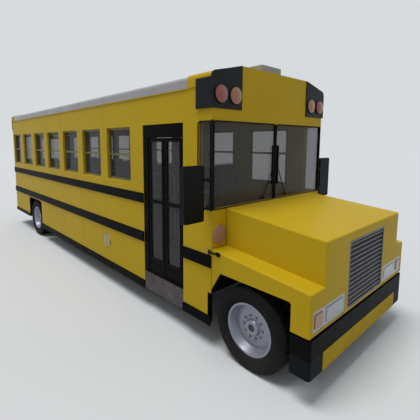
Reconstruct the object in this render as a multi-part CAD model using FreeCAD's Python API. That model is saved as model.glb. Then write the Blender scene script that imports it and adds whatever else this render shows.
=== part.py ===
import FreeCAD, Part
import math
import os

os.makedirs("parts", exist_ok=True)

V = FreeCAD.Vector

# Shared clearances, in mm
FIT = 0.3                # slack between seated pieces
GAP = 6                  # running gap round a moving panel
PAST = 1                 # how far a cutting block runs past a face

# Lengths along the bus are measured from the cowl plane, forward positive
BODY_LEN = 8513          # cowl plane to the rear wall's outer face
HALF_W = 1220            # half of the body's width
WALL = 80                # whole side wall, skin to inner panel
FRONT_WALL = 60          # cowl and windscreen surround

# Wheels and axles
RIM_R = 290
SIDEWALL = 175
TYRE_R = RIM_R + SIDEWALL
TYRE_W = 250
WHEEL_IN = 140           # middle of the outer tyres, in from the body's side
WHEEL_Y = HALF_W - WHEEL_IN
DUAL_PITCH = 290
AXLE_F = 530             # front axle ahead of the cowl plane
OVERHANG = 1857          # rear axle ahead of the rear wall's outer face
AXLE_R = OVERHANG - BODY_LEN
KING_Y = WHEEL_Y - 70
KINGPIN_R = 16
SPINDLE_R = 42
BORE_SLACK = 0.05
DISC_OUT = 22            # wheel disc, outboard of the tyre's middle
BEAD = 22                # rim's flange, in from the tyre's side

# Heights above the ground, built up from the axles
CHASSIS_Z = (TYRE_R + 195, TYRE_R + 475)
FLOOR_T = 60
SILL_T = 60              # sills between the rails and the floor
FLOOR_Z = CHASSIS_Z[1] + SILL_T + FLOOR_T
SKIRT_Z = 291            # lower edge of the skirt ahead of the rear axle
TAIL_Z = SKIRT_Z + 125   # lower edge of the skirt behind the rear axle
ROOF_Z = 3349            # flat top of the roof
EDGE_Z = ROOF_Z - 120    # outer corner of the roof
EAVE_Z = EDGE_Z - 129    # where the white roof starts
ROOF_SLOPE = 482         # the flat top ends this far in from the side
ROOF_FLAT = HALF_W - ROOF_SLOPE
ROOF_T = 60
EDGE_R = 48              # roof skin's bend at its outer corner
CAP_LEN = 412            # yellow front cap of the roof
CAP_PROUD = 12           # the cap's skin over the roof's skin
REAR_CAP_LEN = 190
VENT_RISE = 121          # low box on the front cap
VENT_X = (-330, -90)
VENT_HALF = 225
VENT_R = 30

# Side windows
WIN_FRONT = -1748        # front edge of the first window
WIN_PITCH = 990
WIN_W = 745
WIN_Z0 = FLOOR_Z + 806
WIN_Z1 = EAVE_Z - 400
REAR_HEAD = 60           # rear panes end lower than the side ones
DRIVER_SILL = 120        # driver's window reaches lower than the others
DRIVER_IN = (60, 40)     # driver's window inside the entrance's span
SASH_T = 30              # sash frame's depth
SASH_W = 34              # sash frame's width
SASH_IN = 40             # sash set in from the outer skin
SASH_MID_Z = (WIN_Z0 + WIN_Z1) / 2.0 - 7
GLASS_T = 6
GLASS_LAP = 12           # side panes set in from the opening's edge

# Rear wheel arch
ARCH_R_HALF = TYRE_R + 60
ARCH_R_Z = 2 * TYRE_R + 45
ARCH_R_ROUND = 120

# Rub rails and strips
RAIL_PROUD = 18
RAIL_BEVEL = 8
RAIL_UP = (FLOOR_Z + 525, FLOOR_Z + 672)
RAIL_LOW = (FLOOR_Z - 57, FLOOR_Z + 99)
STRIP_H = 123
TAIL_STRIP_H = 91

# Tops of the arch, the fenders and the hood, each at the cowl and at the grille
ARCH_F_Z = 2 * TYRE_R + 55
FENDER_Z = (ARCH_F_Z + 253, ARCH_F_Z + 142)
HOOD_Z = (FENDER_Z[0] + 454, FENDER_Z[1] + 436)

# Windscreen and corner windows
SCREEN_Z0 = HOOD_Z[0] + 9
SCREEN_Z1 = EAVE_Z - 401
POST = 32                # corner post
SCREEN_MID = 15          # half width of the centre post
QUARTER_X0 = -230
SCREEN_IN = 22           # windscreen glass set back in the surround

# Entrance
DOOR_X0 = -1400
DOOR_X1 = -505
DOOR_Z1 = EAVE_Z - 393
STEP_H = 247             # rise of each step
SECOND_Z = FLOOR_Z - STEP_H
STEP_Z = SECOND_Z - STEP_H
SILL_H = 34
FRAME_T = 70             # depth of the black door frame
FRAME_IN = 8             # frame set in from the outer skin
FRAME_REAR = 110
FRAME_FRONT = 26
FRAME_HEAD = 176
LEAF_T = 34
LEAF_IN = 6              # leaf set in from the frame's face
LEAF_GAP = 14            # between the two leaves
LEAF_STILE = 52
LEAF_KICK = 205
LEAF_BAR = (FLOOR_Z + 560, FLOOR_Z + 608)
LEAF_PANE_R = 16
PIVOT_R = 10
PIVOT_UP = 18            # pin above the leaf, past the running gap
PIVOT_DOWN = 14
SOCKET_DEEP = (20, 24)   # sockets in the sill and in the head
TREAD_Y = (235 - HALF_W, 455 - HALF_W)   # inner edges of the two treads
TREAD_T = 40
STEP_NOSE = 15           # sill block's lower edge above the skirt's
SILL_BLOCK = 60
CHEEK_T = 20

# Rear end
RDOOR_HALF = 500
RDOOR_Z0 = FLOOR_Z + 15
RDOOR_Z1 = EAVE_Z - 400
RDOOR_T = 46
RPANE = (FLOOR_Z + 840, RDOOR_Z1 - 120)
RPANE_LOW = (FLOOR_Z + 190, FLOOR_Z + 580)
RPANE_IN = 90            # panes in from the door's side edges
RPANE_R = 40
REAR_WIN = (RDOOR_HALF + 120, HALF_W - 160)  # side panes of the rear wall, across the bus
PLATE_AT = (RDOOR_HALF + 340, FLOOR_Z + 320)
PLATE_PITCH = (177.8, 120.65)
PLATE_HOLE_R = 3.5
PLATE_DEPTH = 20
LEVER_Z = FLOOR_Z + 710
LEVER_R = 16
LEVER_LEN = 160
LEVER_OUT = 46           # lever's outer face from the door's
LEVER_T = 16
LEVER_H = 30

# Nose, with its length built up from the front axle
ARCH_F_CLEAR = 55        # arch ahead of the front tyre
ARCH_F_ROUND = 30
ARCH_SLOPE = (142, 225)  # the arch's rear corner cut off, along and down
ARCH_END = AXLE_F + TYRE_R + ARCH_F_CLEAR
NOSE_TIP = 200           # grille's outer face ahead of the arch
NOSE_LEN = ARCH_END + NOSE_TIP
HOOD_IN = 248            # hood's side, in from the fenders'
HOOD_HALF = HALF_W - HOOD_IN
NOSE_Z0 = CHASSIS_Z[0] + 40
NOSE_T = 26
NOSE_R = 20              # pressed edges of the hood and fenders
NOSE_GAP = 8
NOSE_LAP = 40            # hood's block reaches down into the fenders'
HINGE_X = NOSE_LEN - NOSE_T / 2.0
HINGE_Z = NOSE_Z0 + NOSE_T / 2.0

# Grille and headlamps
GRILLE_HALF = 474
GRILLE_Z = (NOSE_Z0 + 23, HOOD_Z[1] - 98)
GRILLE_SILL = 12         # mouth starts above the grille panel's lower edge
GRILLE_T = 40
GRILLE_RIM = 26
SLATS = 13
SLAT_T = 5
SLAT_DROP = 15           # a slat's front edge below its rear edge
SLAT_LIP = 17
LAMP_Y = (GRILLE_HALF + 45, HALF_W - 48)
LAMP_Z = (NOSE_Z0 + 35, NOSE_Z0 + 243)
LAMP_T = 34
LAMP_IN = 4              # lamp plate behind the nose's face
HEAD_SPAN = (60, 400)    # headlamp on its plate, from the inner edge
HEAD_PROUD = 4
FLASH_SPAN = (34, 172)   # indicator on its plate, from the outer edge
FLASH_PROUD = 8
LAMP_HALF_H = 66
LAMP_ROUND = 12
COWL_LAMP_R = 112
COWL_LAMP_Z = FENDER_Z[0] + 157

# Bumpers
BUMPER_PROUD = 10        # front bumper ahead of the grille
REAR_BUMPER = 90         # rear bumper's depth behind the rear wall
BUMPER_Z = (SKIRT_Z, NOSE_Z0 - 20)
BUMPER_WALL = 12
BUMPER_R = 36            # bend at the bumpers' ends
BUMPER_SHELF = (108, 78) # shelf left behind the face and inside the ends
INSERT_HALF = HALF_W - 253
INSERT_Z = SKIRT_Z + 188
INSERT_PROUD = 4         # yellow lower face over the black bar
LUG_Y = 560              # pivot lugs of the nose
LUG_HALF = 6
LUG_R = 10
LUG_ROOM = 4
LUG_PIN = 40
RBUMPER_Z = (TAIL_Z + 19, TAIL_Z + 251)
RBUMPER_IN = 30          # rear bumper's ends in from the body's side

# Roof lamps and their panels
PANEL_Z0 = EAVE_Z - 254
PANEL_RETURN = 249
PANEL_T = 14
PANEL_INNER = ROOF_FLAT - 5  # inner edge of each lamp panel
PANEL_LOW = 4            # panel's top under the cap's
LAMP_R = 96
LAMP_PLACES = (PANEL_INNER + 124, HALF_W - 116)
ROOF_LAMP_Z = PANEL_Z0 + 158
LENS_PROUD = 34

# Hinges, roof hatch, fuel flap and stop arm
TANK_Z = (430, 850)
HINGE_R = 9
PIN_R = 4
PIN_ROOM = 3             # a leaf's tongue starts this far off its pin
RDOOR_HINGES = (RDOOR_Z0 + 225, RDOOR_Z1 - 400)
RDOOR_HINGE_LEN = 150
HATCH_X = (-4880, -4220)
HATCH_HALF = 300
HATCH_RISE = 61          # top of the hatch's curb above the roof
CURB_T = 30
LID_T = 29
LID_LIP = 24
LID_R = 12
HATCH_Z = ROOF_Z + HATCH_RISE
HATCH_HINGE_LEN = 120
FLAP_X = -2614
FLAP_Z = TANK_Z[1] - 93
FLAP_R = 130
FLAP_T = 14
FLAP_HINGE_LEN = 72
STOP_X = -1240
STOP_Z = (RAIL_LOW[1] + RAIL_UP[0]) / 2.0
STOP_SIZE = 450
STOP_T = 6
STOP_OUT = 36            # plate's middle plane, out from the skin
STOP_HINGE_LEN = 150
STOP_ARM = (60, 48)      # arm's reach behind its pin, and its height

# Chassis
RAIL_W = 80
RAIL_CLEAR = 195         # between a rail and the inner rear tyre
RAIL_Y = WHEEL_Y - DUAL_PITCH - TYRE_W / 2.0 - RAIL_CLEAR - RAIL_W / 2.0
WEB = 10
RAIL_SHORT = 120         # rails end behind the grille's face
RAIL_END = NOSE_LEN - RAIL_SHORT
TUNNEL_HALF = RAIL_Y + RAIL_W / 2.0 + 10  # opening in the cowl for the rails and gearbox
TUNNEL_HEAD = 20
CROSS_W = 60
CROSS_H = 80
CROSS_FRONT = -1400
CROSS_PITCH = 1100
CROSS_BEHIND = 744       # the member behind the rear springs, from the axle
CROSS_TAIL = 313         # the last member, from the rear wall's outer face
SPRING_Z = TYRE_R + 55
SPRING_W = 70
LEAF_STEEL = 14          # one spring leaf's thickness
LEAF_HALVES = (600, 470, 330)
SPRING_CAMBER = 52
SEAT_HALF = 60           # axle seat, along and across the spring
HANGER = 30              # half of a spring hanger's width
ENGINE_X0 = 130
ENGINE_ROOM = 290        # engine's front face behind the grille's
ENGINE_HALF = RAIL_Y - RAIL_W / 2.0 - 60
ENGINE_Z = HOOD_Z[1] - 143
ENGINE_LIFT = 20         # engine's underside above the rails'
GEARBOX_X = -850
GEARBOX_HALF = 0.576 * ENGINE_HALF
GEARBOX_H = 250
TANK_X = (-3120, -2220)
TANK_R = 60
TANK_CLEAR = 40
NECK_R = 32
MUFFLER_X = (-4000, -2800)
MUFFLER_R = 105
EXHAUST_Y = RAIL_Y + 175
EXHAUST_Z = CHASSIS_Z[0] + 40
PIPE_R = 42
PIPE_BEND_R = 160
PIPE_LEAD = 700          # pipe ahead of the silencer
PIPE_DIP = (844, 1244)   # where the pipe dips behind the rear axle
PIPE_END = 23
TAIL_PIPE_Z = 350
BEAM_R = 40              # half of the front beam's height at its ends
HALF_SHAFT_R = 72
DIFF_R = 180
SHAFT_R = 48

# Cabin
REAR_SHEET = 563         # rear floor sheet's front edge, from the rear wall's outer face
SILL_SHORT = 240
RIB_PITCH = 554
RIB_SIZE = (50, 44)
SEAT_Y = HALF_W - 600
DRIVER_X = -950
WHEEL_HUB = (-630, SEAT_Y, FLOOR_Z + 550)
STEER_R = 210
STEER_GRIP = 16
STEER_TILT = 50
DESK_Y = -300
DESK_Z0 = FLOOR_Z + 120
DESK_CLEAR = 10
DESK_H = 480
DESK_LEN = 430
DESK_CREST = -250
DESK_BROW = 380
DESK_FACE = 140
DESK_KNEE = 200
DESK_FOOT = -300         # rear face of the panel under the dashboard
ROW_FRONT = -2050
ROW_PITCH = 880
SEAT_LEN = 400
WALL_CLEAR = 5           # seats clear of the side wall
PAN_Z = 330              # top of a bench's pan above the floor
PAN_T = 15
LEG_IN = 40
LEG_W = 28
LEG_BEND = 50
PAD_T = 100
BACK_H = 940
BACK_LEAN = 70
DRIVER_PAN_Z = 320
DRIVER_LEN = 460
DRIVER_HALF = 240
DRIVER_BACK_H = 1020
PEDESTAL_IN = 90
PEDESTAL_HALF = 150
AISLE_HALF = 160

# Mirrors and wipers
MIRROR_X = -55
MIRROR_ROOT = 33         # arms ahead of the mirror's middle, on the corner post
MIRROR_Y = (HALF_W + 96, HALF_W + 394)
MIRROR_Z = (SCREEN_Z0 - 126, SCREEN_Z0 + 509)
MIRROR_HALF_T = 30
MIRROR_ROUND = 26
MIRROR_RIM = 20
MIRROR_SUNK = 5          # mirror glass below its rim
MIRROR_ARMS = (150, 165) # arms in from the head's lower and upper ends
ARM_R = 14
KNOB_R = 30
WIPER_FOOT = (262, SCREEN_Z0 + 29)
WIPER_BLADE_Y = 56
SCREEN_H = SCREEN_Z1 - SCREEN_Z0
WIPER_Z = (SCREEN_Z0 + 0.2 * SCREEN_H, SCREEN_Z0 + 0.725 * SCREEN_H)
WIPER_ARM_Z = SCREEN_Z0 + 0.44 * SCREEN_H
WIPER_OUT = 14

SHIFT = (BODY_LEN + REAR_BUMPER - NOSE_LEN - BUMPER_PROUD) / 2.0


def corner_arc(before, corner, after, r):
    """Start, middle and end of the arc that rounds one corner of an outline."""
    back, ahead = (before - corner).normalize(), (after - corner).normalize()
    half = back.getAngle(ahead) / 2.0
    reach = r / math.tan(half)
    middle = corner + (back + ahead).normalize() * (r / math.sin(half) - r)
    return corner + back * reach, middle, corner + ahead * reach


def closed_face(corners):
    """A flat face through (point, radius) corners, each corner rounded by its radius."""
    ends, edges = [], []
    for k, (corner, r) in enumerate(corners):
        if not r:
            ends.append((corner, corner))
            continue
        before, after = corners[k - 1][0], corners[(k + 1) % len(corners)][0]
        start, middle, end = corner_arc(before, corner, after, r)
        edges.append(Part.Arc(start, middle, end).toShape())
        ends.append((start, end))
    for k, (_, end) in enumerate(ends):
        edges.append(Part.makeLine(end, ends[(k + 1) % len(ends)][0]))
    return Part.Face(Part.Wire(Part.__sortEdges__(edges)))


def outline_face(points, place):
    """A face of (a, b) or (a, b, radius) points, put in space by a function of a and b."""
    return closed_face([(place(p[0], p[1]), p[2] if len(p) > 2 else 0) for p in points])


def box(x0, x1, y0, y1, z0, z1):
    """A block between two corners."""
    return Part.makeBox(x1 - x0, y1 - y0, z1 - z0, V(x0, y0, z0))


def prism_y(points, y0, y1):
    """A side outline of (x, z) points, extruded across the bus."""
    return outline_face(points, lambda x, z: V(x, y0, z)).extrude(V(0, y1 - y0, 0))


def prism_x(points, x0, x1):
    """A cross section of (y, z) points, extruded along the bus."""
    return outline_face(points, lambda y, z: V(x0, y, z)).extrude(V(x1 - x0, 0, 0))


def prism_z(points, z0, z1):
    """A plan outline of (x, y) points, extruded upward."""
    return outline_face(points, lambda x, y: V(x, y, z0)).extrude(V(0, 0, z1 - z0))


def lathe_y(points, x, y, z):
    """A profile of (offset along y, radius) points, turned about an axle."""
    face = outline_face(points, lambda a, r: V(x, y + a, z + r))
    return face.revolve(V(x, y, z), V(0, 1, 0), 360)


def rounded(a0, a1, b0, b1, r):
    """Outline of a rectangle with four round corners."""
    return [(a0, b0, r), (a1, b0, r), (a1, b1, r), (a0, b1, r)]


def rod_x(r, x0, x1, y, z):
    return Part.makeCylinder(r, x1 - x0, V(x0, y, z), V(1, 0, 0))


def rod_y(r, y0, y1, x, z):
    return Part.makeCylinder(r, y1 - y0, V(x, y0, z), V(0, 1, 0))


def rod_z(r, z0, z1, x, y):
    return Part.makeCylinder(r, z1 - z0, V(x, y, z0), V(0, 0, 1))


def rod(r, a, b):
    """A round bar between two points."""
    a, b = V(*a), V(*b)
    return Part.makeCylinder(r, (b - a).Length, a, b - a)


def other_side(shape):
    """The same piece on the other side of the bus."""
    return shape.mirror(V(0, 0, 0), V(0, 1, 0))


def fused(shapes):
    shapes = list(shapes)
    return shapes[0].fuse(shapes[1:]).removeSplitter() if len(shapes) > 1 else shapes[0]


def put(name, shape):
    """Writes one piece, with the origin under the middle of the bus."""
    solids = shape.Solids
    whole = solids[0] if len(solids) == 1 else Part.makeCompound(solids)
    whole = whole.copy()
    whole.translate(V(SHIFT, 0, 0))
    whole.exportStep("parts/%s.step" % name)


def windows():
    """Front and rear edge of each side window, as many as the side has room for."""
    room = BODY_LEN - WALL + WIN_FRONT - WIN_W
    for k in range(int(room // WIN_PITCH) + 1):
        front = WIN_FRONT - k * WIN_PITCH
        yield front - WIN_W, front


def driver_window():
    """Edges of the driver's window, on the left across from the entrance."""
    return DOOR_X0 + DRIVER_IN[0], DOOR_X1 - DRIVER_IN[1], WIN_Z0 - DRIVER_SILL, WIN_Z1


def through_side(x0, x1, z0, z1):
    """A block that cuts an opening in the right side wall."""
    return box(x0, x1, -HALF_W - PAST, -HALF_W + WALL + PAST, z0, z1)


def side_wall(right):
    """Skin, posts and skirt of one side, with its windows and openings cut."""
    rear = -BODY_LEN + WALL
    arch = (AXLE_R - ARCH_R_HALF, AXLE_R + ARCH_R_HALF)
    outline = [(rear, TAIL_Z), (arch[0], TAIL_Z), (arch[0], ARCH_R_Z, ARCH_R_ROUND),
               (arch[1], ARCH_R_Z, ARCH_R_ROUND), (arch[1], SKIRT_Z),
               (-FRONT_WALL, SKIRT_Z), (-FRONT_WALL, EAVE_Z), (rear, EAVE_Z)]
    wall = prism_y(outline, -HALF_W, -HALF_W + WALL)
    for x0, x1 in windows():
        wall = wall.cut(through_side(x0, x1, WIN_Z0, WIN_Z1))
    wall = wall.cut(through_side(QUARTER_X0, -FRONT_WALL + PAST, SCREEN_Z0, SCREEN_Z1))
    if right:
        wall = wall.cut(through_side(DOOR_X0, DOOR_X1, SKIRT_Z - PAST, DOOR_Z1))
        return wall.cut(rod_y(FLAP_R + GAP, -HALF_W - PAST, -HALF_W + WALL + PAST, FLAP_X, FLAP_Z))
    return other_side(wall.cut(through_side(*driver_window())))


def cowl():
    """Front wall with the windscreen opening and its centre post."""
    wall = box(-FRONT_WALL, 0, -HALF_W, HALF_W, NOSE_Z0, PANEL_Z0 - FIT)
    for y0, y1 in ((-HALF_W + POST, -SCREEN_MID), (SCREEN_MID, HALF_W - POST)):
        wall = wall.cut(box(-FRONT_WALL - PAST, PAST, y0, y1, SCREEN_Z0, SCREEN_Z1))
    side = box(-FRONT_WALL - PAST, -POST, -HALF_W - PAST, HALF_W + PAST, SCREEN_Z0, SCREEN_Z1)
    tunnel = box(-FRONT_WALL - PAST, PAST, -TUNNEL_HALF, TUNNEL_HALF, NOSE_Z0 - PAST,
                 CHASSIS_Z[1] + TUNNEL_HEAD)
    return wall.cut(side).cut(tunnel)


def rear_wall():
    """Back wall with the emergency doorway and two fixed panes."""
    x0, x1 = -BODY_LEN, -BODY_LEN + WALL
    wall = box(x0, x1 - FIT, -HALF_W, HALF_W, TAIL_Z, EAVE_Z)
    door = box(x0 - PAST, x1 + PAST, -RDOOR_HALF - GAP, RDOOR_HALF + GAP, RDOOR_Z0 - GAP, RDOOR_Z1 + GAP)
    wall = wall.cut(door)
    pane = box(x0 - PAST, x1 + PAST, REAR_WIN[0], REAR_WIN[1], WIN_Z0, WIN_Z1 - REAR_HEAD)
    return wall.cut(pane).cut(other_side(pane))


def roof_skin(grow, bottom):
    """Outer line of the roof's cross section, bent at its corners."""
    half, edge, top = HALF_W + grow, EDGE_Z + grow, ROOF_Z + grow
    return [(-half, bottom), (-half, edge, EDGE_R + grow), (-ROOF_FLAT, top),
            (ROOF_FLAT, top), (half, edge, EDGE_R + grow), (half, bottom)]


def roof_section(grow, bottom):
    """Cross section of the roof, between its skin and its ceiling."""
    inner, low = HALF_W - WALL, EDGE_Z - ROOF_T
    ceiling = [(inner, bottom), (inner, low), (ROOF_FLAT, ROOF_Z - ROOF_T),
               (-ROOF_FLAT, ROOF_Z - ROOF_T), (-inner, low), (-inner, bottom)]
    return roof_skin(grow, bottom) + ceiling


def roof():
    """White roof as its panels: two eave rails, two sloping coves, and the top round the hatch."""
    x0, x1 = -BODY_LEN + REAR_CAP_LEN, -CAP_LEN
    inner = HALF_W - WALL
    rise = (ROOF_Z - EDGE_Z) / (HALF_W - ROOF_FLAT)
    seam = EDGE_Z + WALL * rise
    low = EDGE_Z - ROOF_T
    rail = prism_x([(HALF_W, EAVE_Z), (HALF_W, EDGE_Z, EDGE_R), (inner, seam), (inner, EAVE_Z)], x0, x1)
    cove = prism_x([(inner, low), (inner, seam), (ROOF_FLAT, ROOF_Z), (ROOF_FLAT, ROOF_Z - ROOF_T)], x0, x1)
    top = box(x0, x1, -ROOF_FLAT, ROOF_FLAT, ROOF_Z - ROOF_T, ROOF_Z)
    curb = box(HATCH_X[0] - CURB_T, HATCH_X[1] + CURB_T, -HATCH_HALF - CURB_T, HATCH_HALF + CURB_T,
               ROOF_Z - ROOF_T, HATCH_Z)
    hole = box(HATCH_X[0], HATCH_X[1], -HATCH_HALF, HATCH_HALF, ROOF_Z - ROOF_T - PAST, HATCH_Z + PAST)
    hinges, _ = hatch()
    top = fused([top, curb]).cut(hole).fuse(hinges)
    return Part.makeCompound([rail, other_side(rail), cove, other_side(cove), top])


def cap(x0, x1, inner_x0, inner_x1):
    """A yellow end cap: the roof section closed by a header wall."""
    shell = prism_x(roof_section(CAP_PROUD, EAVE_Z), x0, x1)
    header = prism_x(roof_skin(CAP_PROUD, EAVE_Z), inner_x0, inner_x1)
    return shell.fuse(header).removeSplitter()


def front_cap():
    """Front cap, down to the windscreen's head, with a low box on its top."""
    top = cap(-CAP_LEN + FIT, 0, -FRONT_WALL, 0)
    head = box(-FRONT_WALL, 0, -HALF_W, HALF_W, PANEL_Z0, EAVE_Z)
    vent_top = ROOF_Z + VENT_RISE
    vent = prism_z(rounded(VENT_X[0], VENT_X[1], -VENT_HALF, VENT_HALF, VENT_R), ROOF_Z, vent_top)
    return fused([top, head, vent])


def rear_cap():
    rear = -BODY_LEN
    return cap(rear, rear + REAR_CAP_LEN - FIT, rear, rear + WALL)


def panel_section(grow):
    """Outline of a lamp panel seen from the front."""
    half, edge = HALF_W + CAP_PROUD + grow, EDGE_Z + CAP_PROUD
    top = ROOF_Z + CAP_PROUD - PANEL_LOW
    return [(-half, PANEL_Z0), (-half, edge, EDGE_R + CAP_PROUD + grow), (-ROOF_FLAT, top),
            (ROOF_FLAT, top), (half, edge, EDGE_R + CAP_PROUD + grow), (half, PANEL_Z0)]


def lamp_panels():
    """Black surrounds of the roof lamps: two in front with their side returns, two behind."""
    front = prism_x(panel_section(PANEL_T), FIT, FIT + PANEL_T)
    top = ROOF_Z + CAP_PROUD
    front = front.cut(box(0, FIT + PANEL_T + PAST, -PANEL_INNER, PANEL_INNER, PANEL_Z0 - PAST, top))
    lip = HALF_W + CAP_PROUD
    side = box(-PANEL_RETURN, FIT + PAST, lip + FIT, lip + PANEL_T, PANEL_Z0, EDGE_Z - EDGE_R)
    front = fused([front, side, other_side(side)])
    rear_x = -BODY_LEN - FIT
    rear = prism_x(panel_section(0), rear_x - PANEL_T, rear_x)
    rear = rear.cut(box(rear_x - PANEL_T - PAST, rear_x + PAST, -PANEL_INNER, PANEL_INNER,
                        PANEL_Z0 - PAST, top))
    return Part.makeCompound(front.Solids + rear.Solids)


def lens_x(r, depth, x, y, z, way):
    """A round lamp turned about its axis: a short rim and a domed lens, facing forward or back."""
    half = depth / 2.0
    dome_r = (r * r + half ** 2) / depth
    belly = depth - dome_r + math.sqrt(dome_r ** 2 - (r / 2.0) ** 2)

    def at(along, out):
        return V(x + way * along, y, z + out)

    edges = [Part.makeLine(at(0, 0), at(0, r)), Part.makeLine(at(0, r), at(half, r)),
             Part.Arc(at(half, r), at(belly, r / 2.0), at(depth, 0)).toShape(),
             Part.makeLine(at(depth, 0), at(0, 0))]
    return Part.Face(Part.Wire(edges)).revolve(V(x, y, z), V(1, 0, 0), 360)


def roof_lamps():
    """Round lamps on the panels, and the two on the cowl beside the hood."""
    lamps = []
    for y in LAMP_PLACES:
        for side in (-1, 1):
            lamps.append(lens_x(LAMP_R, LENS_PROUD, 2 * FIT + PANEL_T, side * y, ROOF_LAMP_Z, 1))
            lamps.append(lens_x(LAMP_R, LENS_PROUD, -BODY_LEN - 2 * FIT - PANEL_T, side * y, ROOF_LAMP_Z, -1))
    cowl_y = (HOOD_HALF + HALF_W) / 2.0
    for side in (-1, 1):
        lamps.append(lens_x(COWL_LAMP_R, LENS_PROUD, FIT, side * cowl_y, COWL_LAMP_Z, 1))
    return Part.makeCompound(lamps)


def rub_rails():
    """Black rails and skirt strips along both sides."""
    rear = -BODY_LEN
    behind, ahead = AXLE_R - ARCH_R_HALF, AXLE_R + ARCH_R_HALF
    strip, tail = (SKIRT_Z, SKIRT_Z + STRIP_H), (TAIL_Z, TAIL_Z + TAIL_STRIP_H)
    right = [(rear, DOOR_X0, RAIL_UP), (rear, DOOR_X0, RAIL_LOW), (DOOR_X1, -FIT, RAIL_LOW),
             (ahead, DOOR_X0, strip), (DOOR_X1, -FIT, strip), (rear, behind, tail)]
    left = [(rear, QUARTER_X0, RAIL_UP), (rear, -FIT, RAIL_LOW), (ahead, -FIT, strip), (rear, behind, tail)]
    y0, y1 = HALF_W + FIT, HALF_W + RAIL_PROUD
    bars = []
    for spans, side in ((right, -1), (left, 1)):
        for x0, x1, (z0, z1) in spans:
            section = [(y0, z0), (y1, z0 + RAIL_BEVEL), (y1, z1 - RAIL_BEVEL), (y0, z1)]
            bars.append(prism_x([(side * y, z) for y, z in section], x0, x1))
    return Part.makeCompound(bars)


def sash(x0, x1, z0, z1):
    """One window's frame with a cross rail, set in from the skin."""
    y0, y1 = -HALF_W + SASH_IN, -HALF_W + SASH_IN + SASH_T
    frame = box(x0 + FIT, x1 - FIT, y0, y1, z0 + FIT, z1 - FIT)
    for low, high in ((z0 + SASH_W, SASH_MID_Z - SASH_W / 2.0), (SASH_MID_Z + SASH_W / 2.0, z1 - SASH_W)):
        frame = frame.cut(box(x0 + SASH_W, x1 - SASH_W, y0 - PAST, y1 + PAST, low, high))
    return frame


def window_sashes():
    """Sashes of every side window, the driver's included."""
    frames = []
    for x0, x1 in windows():
        frame = sash(x0, x1, WIN_Z0, WIN_Z1)
        frames += [frame, other_side(frame)]
    frames.append(other_side(sash(*driver_window())))
    return Part.makeCompound(frames)


def window_glass():
    """Side, quarter, rear and windscreen panes."""
    y0 = -HALF_W + SASH_IN + SASH_T + FIT
    lap = GLASS_LAP
    panes = []
    for x0, x1 in windows():
        pane = box(x0 + lap, x1 - lap, y0, y0 + GLASS_T, WIN_Z0 + lap, WIN_Z1 - lap)
        panes += [pane, other_side(pane)]
    x0, x1, z0, z1 = driver_window()
    panes.append(other_side(box(x0 + lap, x1 - lap, y0, y0 + GLASS_T, z0 + lap, z1 - lap)))
    yq = -HALF_W + SCREEN_IN
    quarter = box(QUARTER_X0 + FIT, -POST - FIT, yq, yq + GLASS_T, SCREEN_Z0 + FIT, SCREEN_Z1 - FIT)
    screen = box(-SCREEN_IN - GLASS_T, -SCREEN_IN, -HALF_W + POST + FIT, -SCREEN_MID - FIT,
                 SCREEN_Z0 + FIT, SCREEN_Z1 - FIT)
    x_rear = -BODY_LEN + SCREEN_IN
    rear = box(x_rear, x_rear + GLASS_T, -REAR_WIN[1] + FIT, -REAR_WIN[0] - FIT,
               WIN_Z0 + FIT, WIN_Z1 - REAR_HEAD - FIT)
    for pane in (quarter, screen, rear):
        panes += [pane, other_side(pane)]
    return Part.makeCompound(panes)


def leaf_depth():
    """Outer and inner faces of the entrance leaves."""
    y0 = -HALF_W + FRAME_IN + LEAF_IN
    return y0, y0 + LEAF_T


def leaf_heights():
    return STEP_Z + SILL_H + GAP, DOOR_Z1 - FRAME_HEAD - GAP


def leaf_span(rear_leaf):
    """Rear and front edges of one entrance leaf."""
    rear = DOOR_X0 + FRAME_REAR + GAP
    front = DOOR_X1 - FRAME_FRONT - GAP
    middle = (rear + front) / 2.0
    return (rear, middle - LEAF_GAP / 2.0) if rear_leaf else (middle + LEAF_GAP / 2.0, front)


def leaf_axis(rear_leaf):
    """Place of a leaf's pivot, at the centre of its rounded hinge edge."""
    x0, x1 = leaf_span(rear_leaf)
    x = x0 + LEAF_T / 2.0 if rear_leaf else x1 - LEAF_T / 2.0
    return x, sum(leaf_depth()) / 2.0


def leaf_panes(rear_leaf, inset):
    """Outlines of a leaf's lower and upper panes, drawn in by a clearance."""
    x0, x1 = leaf_span(rear_leaf)
    z0, z1 = leaf_heights()
    for low, high in ((z0 + LEAF_KICK, LEAF_BAR[0]), (LEAF_BAR[1], z1 - LEAF_STILE)):
        yield rounded(x0 + LEAF_STILE + inset, x1 - LEAF_STILE - inset, low + inset, high - inset,
                      LEAF_PANE_R - inset)


def door_frame():
    """Black portal of the entrance: two posts, head and sill, with pivot sockets."""
    y0 = -HALF_W + FRAME_IN
    sill, head = STEP_Z + SILL_H, DOOR_Z1 - FRAME_HEAD
    frame = box(DOOR_X0 + FIT, DOOR_X1 - FIT, y0, y0 + FRAME_T, STEP_Z + FIT, DOOR_Z1 - FIT)
    frame = frame.cut(box(DOOR_X0 + FRAME_REAR, DOOR_X1 - FRAME_FRONT, y0 - PAST, y0 + FRAME_T + PAST,
                          sill, head))
    for rear_leaf in (True, False):
        x, y = leaf_axis(rear_leaf)
        frame = frame.cut(rod_z(PIVOT_R + FIT, sill - SOCKET_DEEP[0], head + SOCKET_DEEP[1], x, y))
    return frame


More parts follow.
